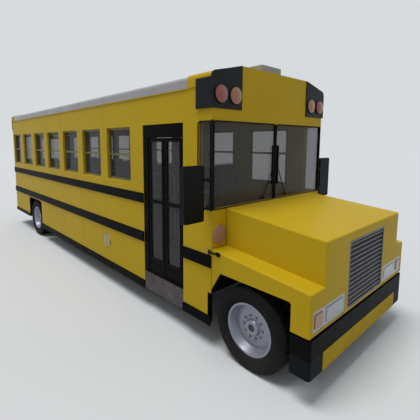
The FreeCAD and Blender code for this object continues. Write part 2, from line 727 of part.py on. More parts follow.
def door_leaf(rear_leaf):
    """One glazed leaf, rounded at its pivot edge, with its pins."""
    x0, x1 = leaf_span(rear_leaf)
    y0, y1 = leaf_depth()
    z0, z1 = leaf_heights()
    x, y = leaf_axis(rear_leaf)
    a, b = (x, x1) if rear_leaf else (x0, x)
    leaf = box(a, b, y0, y1, z0, z1).fuse(rod_z(LEAF_T / 2.0, z0, z1, x, y))
    for pane in leaf_panes(rear_leaf, 0):
        leaf = leaf.cut(prism_y(pane, y0 - PAST, y1 + PAST))
    return leaf.fuse(rod_z(PIVOT_R, z0 - GAP - PIVOT_DOWN, z1 + GAP + PIVOT_UP, x, y)).removeSplitter()


def door_glass(rear_leaf):
    """The two panes of one leaf."""
    y = sum(leaf_depth()) / 2.0 - GLASS_T / 2.0
    return Part.makeCompound([prism_y(pane, y, y + GLASS_T) for pane in leaf_panes(rear_leaf, FIT)])


def step_well():
    """Folded steps of the entrance, closed at both ends, with the outer sill block."""
    x0, x1 = DOOR_X0 + FIT, DOOR_X1 - FIT
    low_z = SKIRT_Z + STEP_NOSE
    first, second = TREAD_Y
    under = STEP_Z - TREAD_T
    outline = [(-HALF_W, low_z), (-HALF_W, STEP_Z), (first, STEP_Z), (first, SECOND_Z), (second, SECOND_Z),
               (second, FLOOR_Z), (second + TREAD_T, FLOOR_Z), (second + TREAD_T, SECOND_Z - TREAD_T),
               (first + TREAD_T, SECOND_Z - TREAD_T), (first + TREAD_T, under),
               (-HALF_W + SILL_BLOCK, under), (-HALF_W + SILL_BLOCK, low_z)]
    wall = -HALF_W + WALL + FIT
    ends = [(wall, under), (second, under), (second, FLOOR_Z), (wall, FLOOR_Z)]
    return fused([prism_x(outline, x0, x1), prism_x(ends, x0, x0 + CHEEK_T), prism_x(ends, x1 - CHEEK_T, x1)])


def hinge(start, along, length):
    """Fixed outer knuckles with their pin, and the loose middle knuckle."""
    start, along = V(*start), V(*along)
    third = length / 3.0
    fixed = Part.makeCylinder(HINGE_R, third, start, along)
    fixed = fixed.fuse(Part.makeCylinder(HINGE_R, third, start + along * (2 * third), along))
    fixed = fixed.fuse(Part.makeCylinder(PIN_R, length, start, along))
    loose = Part.makeCylinder(HINGE_R, third - 2 * FIT, start + along * (third + FIT), along)
    return fixed, loose.cut(Part.makeCylinder(PIN_R + FIT, length, start, along))


def hinge_feet(foot, length, along):
    """The two feet of a hinge, under its first and last knuckles."""
    return [foot, foot.translated(V(*along) * (length * 2 / 3.0))]


def plate_holes():
    """Four screw holes for a number plate, left of the rear doorway."""
    holes = []
    for u in (-0.5, 0.5):
        for w in (-0.5, 0.5):
            y, z = PLATE_AT[0] + u * PLATE_PITCH[0], PLATE_AT[1] + w * PLATE_PITCH[1]
            holes.append(rod_x(PLATE_HOLE_R, -BODY_LEN - PAST, -BODY_LEN + PLATE_DEPTH, y, z))
    return holes


def rear_door_hinge(z):
    """One hinge on the right edge of the rear doorway."""
    return hinge((-BODY_LEN - HINGE_R - 2, -RDOOR_HALF - GAP / 2.0, z), (0, 0, 1), RDOOR_HINGE_LEN)


def rear_door_panes(inset):
    """Outlines of the rear door's upper and lower panes, drawn in by a clearance."""
    half = RDOOR_HALF - RPANE_IN - inset
    for low, high in (RPANE, RPANE_LOW):
        yield [(y, z, r) for y, z, r in rounded(-half, half, low + inset, high - inset, RPANE_R - inset)]


def rear_door():
    """Emergency door leaf with two window openings, hinge knuckles and a lever."""
    x0 = -BODY_LEN
    edge = -RDOOR_HALF
    third = RDOOR_HINGE_LEN / 3.0
    leaf = box(x0, x0 + RDOOR_T, -RDOOR_HALF, RDOOR_HALF, RDOOR_Z0, RDOOR_Z1)
    for pane in rear_door_panes(0):
        leaf = leaf.cut(prism_x(pane, x0 - PAST, x0 + RDOOR_T + PAST))
    for z in RDOOR_HINGES:
        low, high = z + third + FIT, z + 2 * third - FIT
        strap = box(x0 - 12, x0, edge + 4, edge + 70, low, high)
        tongue = box(x0 - HINGE_R - 6, x0 - 6, edge - GAP / 2.0 + PIN_R + PIN_ROOM, edge + 10, low, high)
        leaf = leaf.fuse([rear_door_hinge(z)[1], strap, tongue])
    y = RDOOR_HALF - 70
    out, back = x0 - LEVER_OUT, x0 - LEVER_OUT + LEVER_T
    root, tip = y + LEVER_H, y + LEVER_H - LEVER_LEN
    wide, thin, bend = LEVER_H / 2.0, LEVER_H / 3.0, LEVER_T / 2.0
    grip = [(root, LEVER_Z - wide, bend), (root, LEVER_Z + wide, bend), (tip, LEVER_Z + thin, bend / 2.0),
            (tip, LEVER_Z - thin, bend / 2.0)]
    return fused([leaf, prism_x(grip, out, back), rod_x(LEVER_R, out, x0, y, LEVER_Z)])


def rear_door_glass():
    """The two panes of the emergency door."""
    x = -BODY_LEN + RDOOR_T / 2.0
    return Part.makeCompound([prism_x(pane, x, x + GLASS_T) for pane in rear_door_panes(FIT)])


def rear_wall_with_hinges():
    """Rear wall with the door's fixed knuckles on their feet, and the plate's screw holes."""
    wall = rear_wall()
    third = RDOOR_HINGE_LEN / 3.0
    for z in RDOOR_HINGES:
        foot = box(-BODY_LEN - 10, -BODY_LEN, -RDOOR_HALF - 60, -RDOOR_HALF - GAP - PIN_R, z, z + third)
        wall = wall.fuse([rear_door_hinge(z)[0]] + hinge_feet(foot, RDOOR_HINGE_LEN, (0, 0, 1)))
    return wall.removeSplitter().cut(plate_holes())


def octagon(a, b, across):
    """Eight corners of a plate standing on a flat, about its centre."""
    reach = across / 2.0 / math.cos(math.pi / 8)
    angles = [math.pi / 8 + k * math.pi / 4 for k in range(8)]
    return [(a + reach * math.cos(t), b + reach * math.sin(t)) for t in angles]


def stop_arm():
    """Octagonal plate on its arm, folded back along the left side, and its fixed bracket."""
    y = HALF_W + STOP_OUT
    low = STOP_Z - STOP_HINGE_LEN / 2.0
    fixed, loose = hinge((STOP_X, y, low), (0, 0, 1), STOP_HINGE_LEN)
    foot = box(STOP_X - HINGE_R + 1, STOP_X + 60, HALF_W, y - PIN_R, low, low + STOP_HINGE_LEN / 3.0)
    fixed = fixed.fuse(hinge_feet(foot, STOP_HINGE_LEN, (0, 0, 1)))
    reach, height = STOP_ARM
    centre = STOP_X - reach / 2.0 - STOP_SIZE / 2.0
    plate = prism_y(octagon(centre, STOP_Z, STOP_SIZE), y - STOP_T / 2.0, y + STOP_T / 2.0)
    arm = box(STOP_X - reach, STOP_X - PIN_R - PIN_ROOM, y - STOP_T, y + STOP_T,
              STOP_Z - height / 2.0, STOP_Z + height / 2.0)
    return fixed, fused([plate, arm, loose])


def filler():
    """Round fuel flap with its knuckle, and the pin and feet that stay on the wall."""
    y = -HALF_W - HINGE_R - 2
    x = FLAP_X + FLAP_R + GAP + HINGE_R
    low = FLAP_Z - FLAP_HINGE_LEN / 2.0
    third = FLAP_HINGE_LEN / 3.0
    fixed, loose = hinge((x, y, low), (0, 0, 1), FLAP_HINGE_LEN)
    foot = box(x, x + 24, y, -HALF_W, low, low + third)
    fixed = fixed.fuse(hinge_feet(foot, FLAP_HINGE_LEN, (0, 0, 1)))
    profile = [(0, 0), (0, FLAP_R - 8), (3, FLAP_R), (FLAP_T, FLAP_R), (FLAP_T, 0)]
    disc = lathe_y(profile, FLAP_X, -HALF_W, FLAP_Z)
    tongue = box(FLAP_X + FLAP_R - 40, x - PIN_R - PIN_ROOM, y - 3, -HALF_W,
                 low + third + FIT, low + 2 * third - FIT)
    return fixed, fused([disc, tongue, loose])


def hatch():
    """Roof hatch lid with three lips, and the hinges that stay on the curb."""
    x0, x1 = HATCH_X[0] - CURB_T, HATCH_X[1] + CURB_T
    half = HATCH_HALF + CURB_T
    x, z = x0 - HINGE_R - 6, HATCH_Z - HINGE_R
    rim = GAP + 8
    lid = prism_z(rounded(x0 - 2, x1 + rim, -half - rim, half + rim, LID_R), HATCH_Z + 1, HATCH_Z + 1 + LID_T)
    lip = prism_z([(x0 + 20, -half - rim), (x1 + rim, -half - rim, LID_R), (x1 + rim, half + rim, LID_R),
                   (x0 + 20, half + rim)], HATCH_Z - LID_LIP, HATCH_Z + 10)
    inside = box(x0, x1 + GAP, -half - GAP, half + GAP, HATCH_Z - LID_LIP - PAST, HATCH_Z + LID_T)
    lid = lid.fuse(lip.cut(inside))
    fixed_all = []
    third = HATCH_HINGE_LEN / 3.0
    for y in (-HATCH_HALF + 30, HATCH_HALF - 30 - HATCH_HINGE_LEN):
        fixed, loose = hinge((x, y, z), (0, 1, 0), HATCH_HINGE_LEN)
        foot = box(x, x0, y, y + third, z - HINGE_R, z)
        fixed_all += [fixed] + hinge_feet(foot, HATCH_HINGE_LEN, (0, 1, 0))
        low, high = y + third + FIT, y + 2 * third - FIT
        tongue = box(x - PIN_R, x0 + 10, low, high, z + PIN_R + PIN_ROOM, HATCH_Z + 8)
        tongue = tongue.cut(box(x0 - PAST, x0 + 99, low, high, 0, HATCH_Z + 1))
        lid = lid.fuse([loose, tongue])
    return fixed_all, lid.removeSplitter()


def nose_block(heights, half, low, x0, x1, inset):
    """One of the nose's two blocks: a top that falls towards the grille, and flat sides."""
    slope = (heights[1] - heights[0]) / float(NOSE_LEN)
    back, front = heights[0] + slope * x0 - inset, heights[0] + slope * x1 - inset
    return prism_y([(x0, low), (x0, back), (x1, front), (x1, low)], -half + inset, half - inset)


def pressed(block, half, top):
    """Rounds the block's top edges and its two upright front edges."""
    def on_edge(p):
        side = abs(abs(p.y) - half) < PAST and (p.z > top - PAST or p.x > NOSE_LEN - PAST)
        front = p.x > NOSE_LEN - PAST and p.z > top - PAST
        return side or front
    edges = []
    for edge in block.Edges:
        ends = [v.Point for v in edge.Vertexes]
        along_back = all(p.x < NOSE_LEN - PAST for p in ends)
        low = all(p.z < top - PAST for p in ends)
        if all(on_edge(p) for p in ends) and not along_back and not low:
            edges.append(edge)
    return block.makeFillet(NOSE_R, edges)


def nose_shell():
    """Hood and fenders as one pressed shell, open behind and below."""
    outer_hood = nose_block(HOOD_Z, HOOD_HALF, NOSE_Z0 + NOSE_LAP, NOSE_GAP, NOSE_LEN, 0)
    outer_fender = nose_block(FENDER_Z, HALF_W, NOSE_Z0, NOSE_GAP, NOSE_LEN, 0)
    outer = fused([pressed(outer_hood, HOOD_HALF, HOOD_Z[1]), pressed(outer_fender, HALF_W, FENDER_Z[1])])
    back, face = -PAST, NOSE_LEN - NOSE_T
    hollow = fused([nose_block(HOOD_Z, HOOD_HALF, NOSE_Z0 + NOSE_LAP, back, face, NOSE_T),
                    nose_block(FENDER_Z, HALF_W, NOSE_Z0 - PAST, back, face, NOSE_T)])
    return outer.cut(hollow)


def wheel_arch():
    """A block that cuts both front arches, with its rear corner cut off."""
    along, down = ARCH_SLOPE
    low = NOSE_Z0 - 2 * PAST
    outline = [(-PAST, low), (-PAST, ARCH_F_Z - down), (NOSE_GAP, ARCH_F_Z - down), (along, ARCH_F_Z),
               (ARCH_END, ARCH_F_Z, ARCH_F_ROUND), (ARCH_END, low)]
    return prism_y(outline, -HALF_W - PAST, HALF_W + PAST)


def both_sides(y0, y1, x0, x1, z0, z1):
    """The same cutting block on the right and on the left."""
    block = box(x0, x1, y0, y1, z0, z1)
    return [block, other_side(block)]


def nose():
    """The shell with its arches, the mouths for grille and lamps, and room for the pivot lugs."""
    x0, x1 = NOSE_LEN - NOSE_T - PAST, NOSE_LEN + PAST
    toe = box(x0, x1, -HALF_W - PAST, HALF_W + PAST, NOSE_Z0 - PAST, HINGE_Z)
    toe = toe.cut(rod_y(NOSE_T / 2.0, -HALF_W - 2 * PAST, HALF_W + 2 * PAST, HINGE_X, HINGE_Z))
    mouth = box(x0, x1, -GRILLE_HALF, GRILLE_HALF, GRILLE_Z[0] + GRILLE_SILL, GRILLE_Z[1])
    cuts = [toe, wheel_arch(), mouth]
    cuts += both_sides(LAMP_Y[0], LAMP_Y[1], x0, x1, LAMP_Z[0], LAMP_Z[1])
    room = LUG_HALF + LUG_ROOM
    cuts += both_sides(LUG_Y - room, LUG_Y + room, x0, x1, NOSE_Z0 - PAST, LAMP_Z[0] - LUG_ROOM)
    for side in (-1, 1):
        reach = LUG_PIN + LUG_R
        cuts.append(rod_y(PIN_R + FIT, side * LUG_Y - reach, side * LUG_Y + reach, HINGE_X, HINGE_Z))
    shell = nose_shell()
    for block in cuts:
        shell = shell.cut(block)
    return shell


def slat(x0, x1, y0, y1, top):
    """One louvre: a slanted blade with a lip turned down at its front edge."""
    low = top - SLAT_DROP
    outline = [(x0, top), (x1, low, SLAT_T), (x1, low - SLAT_LIP), (x1 - SLAT_T, low - SLAT_LIP),
               (x1 - SLAT_T, low - SLAT_T), (x0, top - SLAT_T)]
    return prism_y(outline, y0, y1)


def grille():
    """Louvred grille: a frame with slanted slats between its sides."""
    x0, x1 = NOSE_LEN - GRILLE_T, NOSE_LEN
    half = GRILLE_HALF - FIT
    z0, z1 = GRILLE_Z[0] + GRILLE_SILL + FIT, GRILLE_Z[1] - FIT
    y_in, low, high = half - GRILLE_RIM, z0 + GRILLE_RIM, z1 - GRILLE_RIM
    frame = box(x0, x1, -half, half, z0, z1).cut(box(x0 - PAST, x1 + PAST, -y_in, y_in, low, high))
    pitch = (high - low) / float(SLATS)
    slats = [slat(x0 + SLAT_T, x1 - SLAT_T, -y_in - PAST, y_in + PAST, high - k * pitch - SLAT_T)
             for k in range(SLATS)]
    return fused([frame] + slats)


def headlamps():
    """Lamp units in the nose: a backing plate, a flush rectangular lens and a square indicator."""
    x1 = NOSE_LEN - LAMP_IN
    y0, y1 = LAMP_Y[0] + FIT, LAMP_Y[1] - FIT
    z0, z1 = LAMP_Z[0] + FIT, LAMP_Z[1] - FIT
    mid = (z0 + z1) / 2.0
    low, high = mid - LAMP_HALF_H, mid + LAMP_HALF_H
    plate = box(x1 - LAMP_T, x1, y0, y1, z0, z1)
    lens = rounded(y0 + HEAD_SPAN[0], y0 + HEAD_SPAN[1], low, high, LAMP_ROUND)
    lens = prism_x(lens, x1 - PAST, x1 + HEAD_PROUD)
    flash = rounded(y1 - FLASH_SPAN[1], y1 - FLASH_SPAN[0], low, high, LAMP_ROUND)
    flash = prism_x(flash, x1 - PAST, x1 + FLASH_PROUD)
    lamp = fused([plate, lens, flash])
    return Part.makeCompound([lamp, other_side(lamp)])


def bumper_plan(x0, x1, half, way, r):
    """Plan outline of a bumper whose ends are bent round towards the body."""
    face = x1 if way > 0 else x0
    root = x0 if way > 0 else x1
    return [(root, -half), (face, -half, r), (face, half, r), (root, half)]


def bumper_front():
    """Deep channel bumper that wraps to the wheel arches, with the nose's pivot lugs."""
    x0, x1 = ARCH_END, NOSE_LEN + BUMPER_PROUD - INSERT_PROUD
    z0, z1 = BUMPER_Z
    wall = BUMPER_WALL
    bar = prism_z(bumper_plan(x0, x1, HALF_W, 1, BUMPER_R), z0, z1)
    hollow = bumper_plan(x0 - PAST, x1 - wall, HALF_W - wall, 1, BUMPER_R - wall)
    bar = bar.cut(prism_z(hollow, z0 - PAST, z1 - wall))
    shelf_x, shelf_y = x1 - wall - BUMPER_SHELF[0], HALF_W - wall - BUMPER_SHELF[1]
    bar = bar.cut(box(x0 - PAST, shelf_x, -shelf_y, shelf_y, z1 - wall - PAST, z1 + PAST))
    parts = [bar, box(x1 - PAST, x1 + INSERT_PROUD, -INSERT_HALF, INSERT_HALF, z0, INSERT_Z)]
    for side in (-1, 1):
        y0, y1 = side * LUG_Y - LUG_HALF, side * LUG_Y + LUG_HALF
        parts.append(box(HINGE_X - LUG_R, HINGE_X + LUG_R, y0, y1, z1, HINGE_Z))
        parts.append(rod_y(LUG_R, y0, y1, HINGE_X, HINGE_Z))
        parts.append(rod_y(PIN_R, side * LUG_Y - LUG_PIN, side * LUG_Y + LUG_PIN, HINGE_X, HINGE_Z))
        y0, y1 = side * RAIL_Y - RAIL_W / 2.0, side * RAIL_Y + RAIL_W / 2.0
        parts.append(box(RAIL_END + FIT, x1 - PAST, y0, y1, CHASSIS_Z[0] - 100, z1))
        parts.append(box(RAIL_END + FIT, NOSE_LEN - 50, y0, y1, z1 - PAST, CHASSIS_Z[0] + 100))
    return fused(parts)


def bumper_rear():
    """Rear channel bumper, open towards the body."""
    x0, x1 = -BODY_LEN - REAR_BUMPER, -BODY_LEN
    z0, z1 = RBUMPER_Z
    half, wall = HALF_W - RBUMPER_IN, BUMPER_WALL
    bar = prism_z(bumper_plan(x0, x1 - FIT, half, -1, BUMPER_R), z0, z1)
    hollow = bumper_plan(x0 + wall, x1 + PAST, half - wall, -1, BUMPER_R - wall)
    return bar.cut(prism_z(hollow, z0 + wall, z1 - wall))


def mirrors():
    """Flat mirror heads with a sunk glass, on two short arms from the corner posts."""
    y0, y1 = MIRROR_Y
    z0, z1 = MIRROR_Z
    x, half, rim = MIRROR_X, MIRROR_HALF_T, MIRROR_RIM
    head = prism_x(rounded(y0, y1, z0, z1, MIRROR_ROUND), x - half, x + half)
    sunk = rounded(y0 + rim, y1 - rim, z0 + rim, z1 - rim, MIRROR_ROUND - rim / 2.0)
    parts = [head.cut(prism_x(sunk, x - half - PAST, x - half + MIRROR_SUNK))]
    root = x + MIRROR_ROOT
    for z in (z0 + MIRROR_ARMS[0], z1 - MIRROR_ARMS[1]):
        parts.append(Part.makeSphere(KNOB_R, V(root, HALF_W + KNOB_R, z)))
        parts.append(rod_y(ARM_R, HALF_W + FIT, y0 + 5, root, z))
    one = fused(parts)
    one = one.cut(box(x - 99, x + 99, HALF_W - 99, HALF_W + FIT, z0, z1))
    return Part.makeCompound([one, other_side(one)])


def wipers():
    """Two upright blades on arms pivoted at the foot of the windscreen."""
    wings = []
    x0, x1 = -SCREEN_IN + FIT, WIPER_OUT
    y, z = WIPER_FOOT
    for side in (-1, 1):
        spindle = rod_x(13, x0, x1, side * y, z)
        blade = box(x0 + 4, x1, side * WIPER_BLADE_Y - 7, side * WIPER_BLADE_Y + 7, *WIPER_Z)
        arm = rod(6, (3, side * y, z), (3, side * WIPER_BLADE_Y, WIPER_ARM_Z))
        wings.append(fused([spindle, blade, arm]))
    return Part.makeCompound(wings)


def floor():
    """Cabin floor in two sheets on its sills, cut round the step well."""
    x0, x1 = -BODY_LEN + WALL + FIT, -FRONT_WALL - FIT
    y = HALF_W - WALL - FIT
    under = FLOOR_Z - FLOOR_T
    joint = -BODY_LEN + REAR_SHEET
    rear_sheet = box(x0, joint, -y, y, under, FLOOR_Z)
    sheet = box(joint, x1, -y, y, under, FLOOR_Z)
    well = TREAD_Y[1] + TREAD_T + FIT
    sheet = sheet.cut(box(DOOR_X0 - GAP, DOOR_X1 + GAP, -y - PAST, well, 0, FLOOR_Z + PAST))
    inner, outer = RAIL_Y - RAIL_W / 2.0, RAIL_Y + RAIL_W / 2.0
    sill = box(x0, x1 - SILL_SHORT, inner, outer, CHASSIS_Z[1], under)
    ribs = []
    first = x0 + 30
    for k in range(int((DOOR_X0 - 300 - first) // RIB_PITCH) + 1):
        x = first + k * RIB_PITCH
        ribs.append(box(x, x + RIB_SIZE[0], -y, y, under - RIB_SIZE[1], under))
    return Part.makeCompound([fused([sheet, sill, other_side(sill)] + ribs), rear_sheet])


def cross_places():
    """Rear edges of the cross members: an even row ahead of the rear springs, and two behind."""
    room = CROSS_FRONT - AXLE_R - LEAF_HALVES[0] - 200
    row = [CROSS_FRONT - k * CROSS_PITCH for k in range(int(room // CROSS_PITCH) + 1)]
    return row + [AXLE_R - CROSS_BEHIND, -BODY_LEN + CROSS_TAIL]


def frame_rails():
    """Ladder chassis: two channel rails and their cross members."""
    x0, x1 = -BODY_LEN + WALL, RAIL_END
    z0, z1 = CHASSIS_Z
    outer, inner = RAIL_Y + RAIL_W / 2.0, RAIL_Y - RAIL_W / 2.0
    web = outer - WEB
    channel = [(outer, z0, WEB), (outer, z1, WEB), (inner, z1), (inner, z1 - WEB), (web, z1 - WEB),
               (web, z0 + WEB), (inner, z0 + WEB), (inner, z0)]
    rail = prism_x(channel, x0, x1 - CROSS_W)
    members = [rail, other_side(rail)]
    for x in cross_places():
        members.append(box(x, x + CROSS_W, -web, web, z1 - WEB - CROSS_H, z1 - WEB))
    members.append(box(x1 - CROSS_W, x1, -outer, outer, z0, z1))
    return Part.makeCompound(members)


def engine():
    """Engine and gearbox as one plain block on its mounts."""
    z0 = CHASSIS_Z[0] + ENGINE_LIFT
    x0, x1 = ENGINE_X0, NOSE_LEN - ENGINE_ROOM
    block = box(x0, x1, -ENGINE_HALF, ENGINE_HALF, z0, ENGINE_Z)
    gearbox = box(GEARBOX_X, x0, -GEARBOX_HALF, GEARBOX_HALF, z0, z0 + GEARBOX_H)
    reach = RAIL_Y + RAIL_W / 2.0 - WEB - FIT
    mounts = [box(x, x + 90, -reach, reach, z0 + 60, z0 + 120) for x in (x0 + 60, x1 - 160)]
    return fused([block, gearbox] + mounts)


def fuel_tank():
    """Tank with rounded long edges, on two straps to the right rail, and its filler neck."""
    outer = RAIL_Y + RAIL_W / 2.0
    y0, y1 = -HALF_W + WALL + TANK_CLEAR, -outer - TANK_CLEAR
    tank = prism_x(rounded(y0, y1, TANK_Z[0], TANK_Z[1], TANK_R), TANK_X[0], TANK_X[1])
    straps = [box(x, x + 60, y1 - PAST, -outer - FIT, TANK_Z[0] + 130, TANK_Z[1] - 50)
              for x in (TANK_X[0] + 150, TANK_X[1] - 210)]
    neck = rod_y(NECK_R, -HALF_W + FLAP_T + 10, y0 + 20, FLAP_X, FLAP_Z)
    return fused([tank, neck] + straps)


def pipe(route, r, bend):
    """A round pipe along an (x, z) route in one upright plane, its corners bent to a radius."""
    y = EXHAUST_Y
    points = [V(x, y, z) for x, z in route]
    at, edges = points[0], []
    for before, corner, after in zip(points, points[1:], points[2:]):
        start, middle, end = corner_arc(before, corner, after, bend)
        edges += [Part.makeLine(at, start), Part.Arc(start, middle, end).toShape()]
        at = end
    edges.append(Part.makeLine(at, points[-1]))
    section = Part.Wire(Part.makeCircle(r, points[0], points[1] - points[0]))
    return Part.Wire(edges).makePipeShell([section], True, True)


def exhaust():
    """Silencer beside the left rail, and its pipe over the rear axle and out below."""
    y, z = EXHAUST_Y, EXHAUST_Z
    outer = RAIL_Y + RAIL_W / 2.0
    front = MUFFLER_X[1] + PIPE_LEAD
    route = [(front, z), (AXLE_R - PIPE_DIP[0], z), (AXLE_R - PIPE_DIP[1], TAIL_PIPE_Z),
             (-BODY_LEN + PIPE_END, TAIL_PIPE_Z)]
    parts = [rod_x(MUFFLER_R, MUFFLER_X[0], MUFFLER_X[1], y, z), pipe(route, PIPE_R, PIPE_BEND_R)]
    for x in (MUFFLER_X[0] + 100, MUFFLER_X[1] - 160, AXLE_R - CROSS_BEHIND):
        parts.append(box(x, x + 60, outer + FIT, y, z - 20, z + 20))
    return fused(parts)


def spring_leaf(x, half, low, y0, y1):
    """One leaf: flat over the axle seat, then sprung up to its ends."""
    rise = SPRING_CAMBER * half / float(LEAF_HALVES[0])
    upper, t, bend = low + LEAF_STEEL, SEAT_HALF, half / 2.0
    below = [(x - half, low + rise), (x - t, low, bend), (x + t, low, bend), (x + half, low + rise)]
    above = [(x + half, upper + rise), (x + t, upper, bend), (x - t, upper, bend), (x - half, upper + rise)]
    return prism_y(below + above, y0, y1)


def leaf_spring(x, seat_z):
    """One leaf pack with the hangers at its ends, under the left rail."""
    y0, y1 = RAIL_Y - SPRING_W / 2.0, RAIL_Y + SPRING_W / 2.0
    count = len(LEAF_HALVES)
    parts = [spring_leaf(x, half, seat_z + (count - 1 - k) * LEAF_STEEL, y0, y1)
             for k, half in enumerate(LEAF_HALVES)]
    end = seat_z + (count - 1) * LEAF_STEEL + SPRING_CAMBER
    for side in (-1, 1):
        xe = x + side * (LEAF_HALVES[0] - HANGER)
        parts.append(box(xe - HANGER, xe + HANGER, RAIL_Y - HANGER, RAIL_Y + HANGER,
                         end - 6, CHASSIS_Z[0] - FIT))
    return fused(parts)


def front_axle():
    """Dropped beam axle with its springs, and a boss and kingpin at each end."""
    end, dip, high = KING_Y - 20, TYRE_R - 90, TYRE_R + BEAM_R
    half = RAIL_Y + 90
    beam = [(-end, TYRE_R - BEAM_R), (-end + 60, TYRE_R - BEAM_R, 60), (-half, dip, 60), (half, dip, 60),
            (end - 60, TYRE_R - BEAM_R, 60), (end, TYRE_R - BEAM_R), (end, high),
            (RAIL_Y + 60, TYRE_R - 5, 60), (-RAIL_Y - 60, TYRE_R - 5, 60), (-end, high)]
    parts = [prism_x(beam, AXLE_F - 45, AXLE_F + 45)]
    for side in (-1, 1):
        y = side * RAIL_Y
        parts.append(box(AXLE_F - SEAT_HALF, AXLE_F + SEAT_HALF, y - 45, y + 45, TYRE_R - 10, SPRING_Z))
        parts.append(rod_z(34, TYRE_R - BEAM_R, high, AXLE_F, side * KING_Y))
        parts.append(rod_z(KINGPIN_R, TYRE_R - 84, TYRE_R + 84, AXLE_F, side * KING_Y))
    spring = leaf_spring(AXLE_F, SPRING_Z)
    return fused(parts + [spring, other_side(spring)])


def rear_axle():
    """Driven axle with its differential and springs, and the shaft from the gearbox."""
    seat = TYRE_R + 80
    end = WHEEL_Y - DUAL_PITCH - 30
    parts = [rod_y(HALF_SHAFT_R, -end, end, AXLE_R, TYRE_R)]
    parts.append(rod_y(SPINDLE_R, -WHEEL_Y - 40, WHEEL_Y + 40, AXLE_R, TYRE_R))
    case = [(-150, 0), (-150, DIFF_R / 2.0, 30), (-60, DIFF_R, 60),
            (60, DIFF_R, 60), (150, DIFF_R / 2.0, 30), (150, 0)]
    parts.append(lathe_y(case, AXLE_R, 0, TYRE_R))
    for side in (-1, 1):
        y = side * RAIL_Y
        parts.append(box(AXLE_R - SEAT_HALF, AXLE_R + SEAT_HALF, y - 45, y + 45, TYRE_R + 40, seat))
    spring = leaf_spring(AXLE_R, seat - 2 * LEAF_STEEL)
    parts += [spring, other_side(spring)]
    parts.append(rod(SHAFT_R, (AXLE_R + 100, 0, TYRE_R), (GEARBOX_X - 5, 0, CHASSIS_Z[0] + 90)))
    return fused(parts)


def knuckle():
    """Right steering knuckle: two ears on the kingpin, a web and the wheel's spindle."""
    y, z, x = -KING_Y, TYRE_R, AXLE_F
    shapes = [box(x - 34, x + 34, y - 52, y - 36, z - 78, z + 78)]
    shapes.append(rod_y(SPINDLE_R, -WHEEL_Y - 40, y - 50, x, z))
    for low, high in ((z + BEAM_R + FIT, z + 78), (z - 78, z - BEAM_R - FIT)):
        shapes += [rod_z(34, low, high, x, y), box(x - 30, x + 30, y - 50, y, low, high)]
    return fused(shapes).cut(rod_z(KINGPIN_R + FIT, z - 99, z + 99, x, y))


def tyre_profile():
    """Half section of a tyre with rounded shoulders, about its own middle plane."""
    w, r, side = TYRE_W / 2.0, TYRE_R, SIDEWALL
    half = [(w - BEAD, RIM_R), (w, RIM_R + 0.32 * side), (w, r - 0.26 * side),
            (w - 12, r - 0.08 * side), (w - 34, r)]
    return [(-a, b) for a, b in half] + half[::-1]


def rim_profile():
    """Section of a rim: barrel with flanges, and a dished disc down to the hub."""
    w, r, disc = TYRE_W / 2.0 - BEAD, RIM_R - FIT, DISC_OUT
    bore = SPINDLE_R + BORE_SLACK
    return [(-w, r), (-w, r - 22), (-w + 12, r - 28), (disc - 14, r - 40), (disc - 14, 120), (disc - 34, 100),
            (disc - 34, bore), (disc + 30, bore), (disc + 30, 78),
            (disc, 96), (disc, 0.655 * r), (disc - 6, r - 62), (w - 12, r - 28), (w, r - 22), (w, r)]


def wheel(x, y):
    """Tyre and rim of one right-hand wheel, the rim's disc outboard."""
    return lathe_y(tyre_profile(), x, y, TYRE_R), lathe_y([(-a, r) for a, r in rim_profile()], x, y, TYRE_R)


def wheel_rear():
    """Right rear twin tyres, and their rims joined by a hub."""
    outer_tyre, outer_rim = wheel(AXLE_R, -WHEEL_Y)
    inner_tyre, inner_rim = wheel(AXLE_R, -WHEEL_Y + DUAL_PITCH)
    bore, hub_r = SPINDLE_R + BORE_SLACK, 76
    ends = (-DISC_OUT - PAST, DUAL_PITCH - DISC_OUT + PAST)
    hub = [(ends[0], bore), (ends[0], hub_r), (ends[1], hub_r), (ends[1], bore)]
    hub = lathe_y(hub, AXLE_R, -WHEEL_Y, TYRE_R)
    return Part.makeCompound([outer_tyre, inner_tyre]), fused([outer_rim, inner_rim, hub])


def dashboard():
    """Dashboard with the steering column and wheel."""
    front, side = -FRONT_WALL - FIT, HALF_W - WALL - DESK_CLEAR
    top, brow = DESK_Z0 + DESK_H, DESK_Z0 + DESK_BROW
    profile = [(front, DESK_Z0), (front, top), (DESK_CREST, top - 10, 60), (-DESK_LEN, brow, 40),
               (-DESK_LEN, brow - DESK_FACE, 30), (DESK_FOOT, DESK_Z0 + DESK_KNEE), (DESK_FOOT, DESK_Z0)]
    desk = prism_y(profile, DESK_Y, side)
    leg = box(DESK_FOOT, front, DESK_Y, side, FLOOR_Z + FIT, DESK_Z0 + 20)
    column = rod(30, (30 - DESK_LEN, SEAT_Y, DESK_Z0 + 300), WHEEL_HUB)
    ring = Part.makeTorus(STEER_R, STEER_GRIP, V(0, 0, 0), V(0, 0, 1))
    spokes = [rod(10, (0, 0, 0), (STEER_R * math.cos(a), STEER_R * math.sin(a), 0))
              for a in (math.radians(t) for t in (90, 210, 330))]
    steer = fused([ring, Part.makeCylinder(42, 30, V(0, 0, -15))] + spokes)
    steer.rotate(V(0, 0, 0), V(0, 1, 0), -STEER_TILT)
    steer.translate(V(*WHEEL_HUB))
    return fused([desk, leg, column, steer])


def bench_rows():
    """Front edges of the benches, as many as the main floor sheet has room for."""
    room = BODY_LEN - REAR_SHEET + ROW_FRONT - SEAT_LEN - PAD_T - BACK_LEAN
    return [ROW_FRONT - k * ROW_PITCH for k in range(int(room // ROW_PITCH) + 1)]


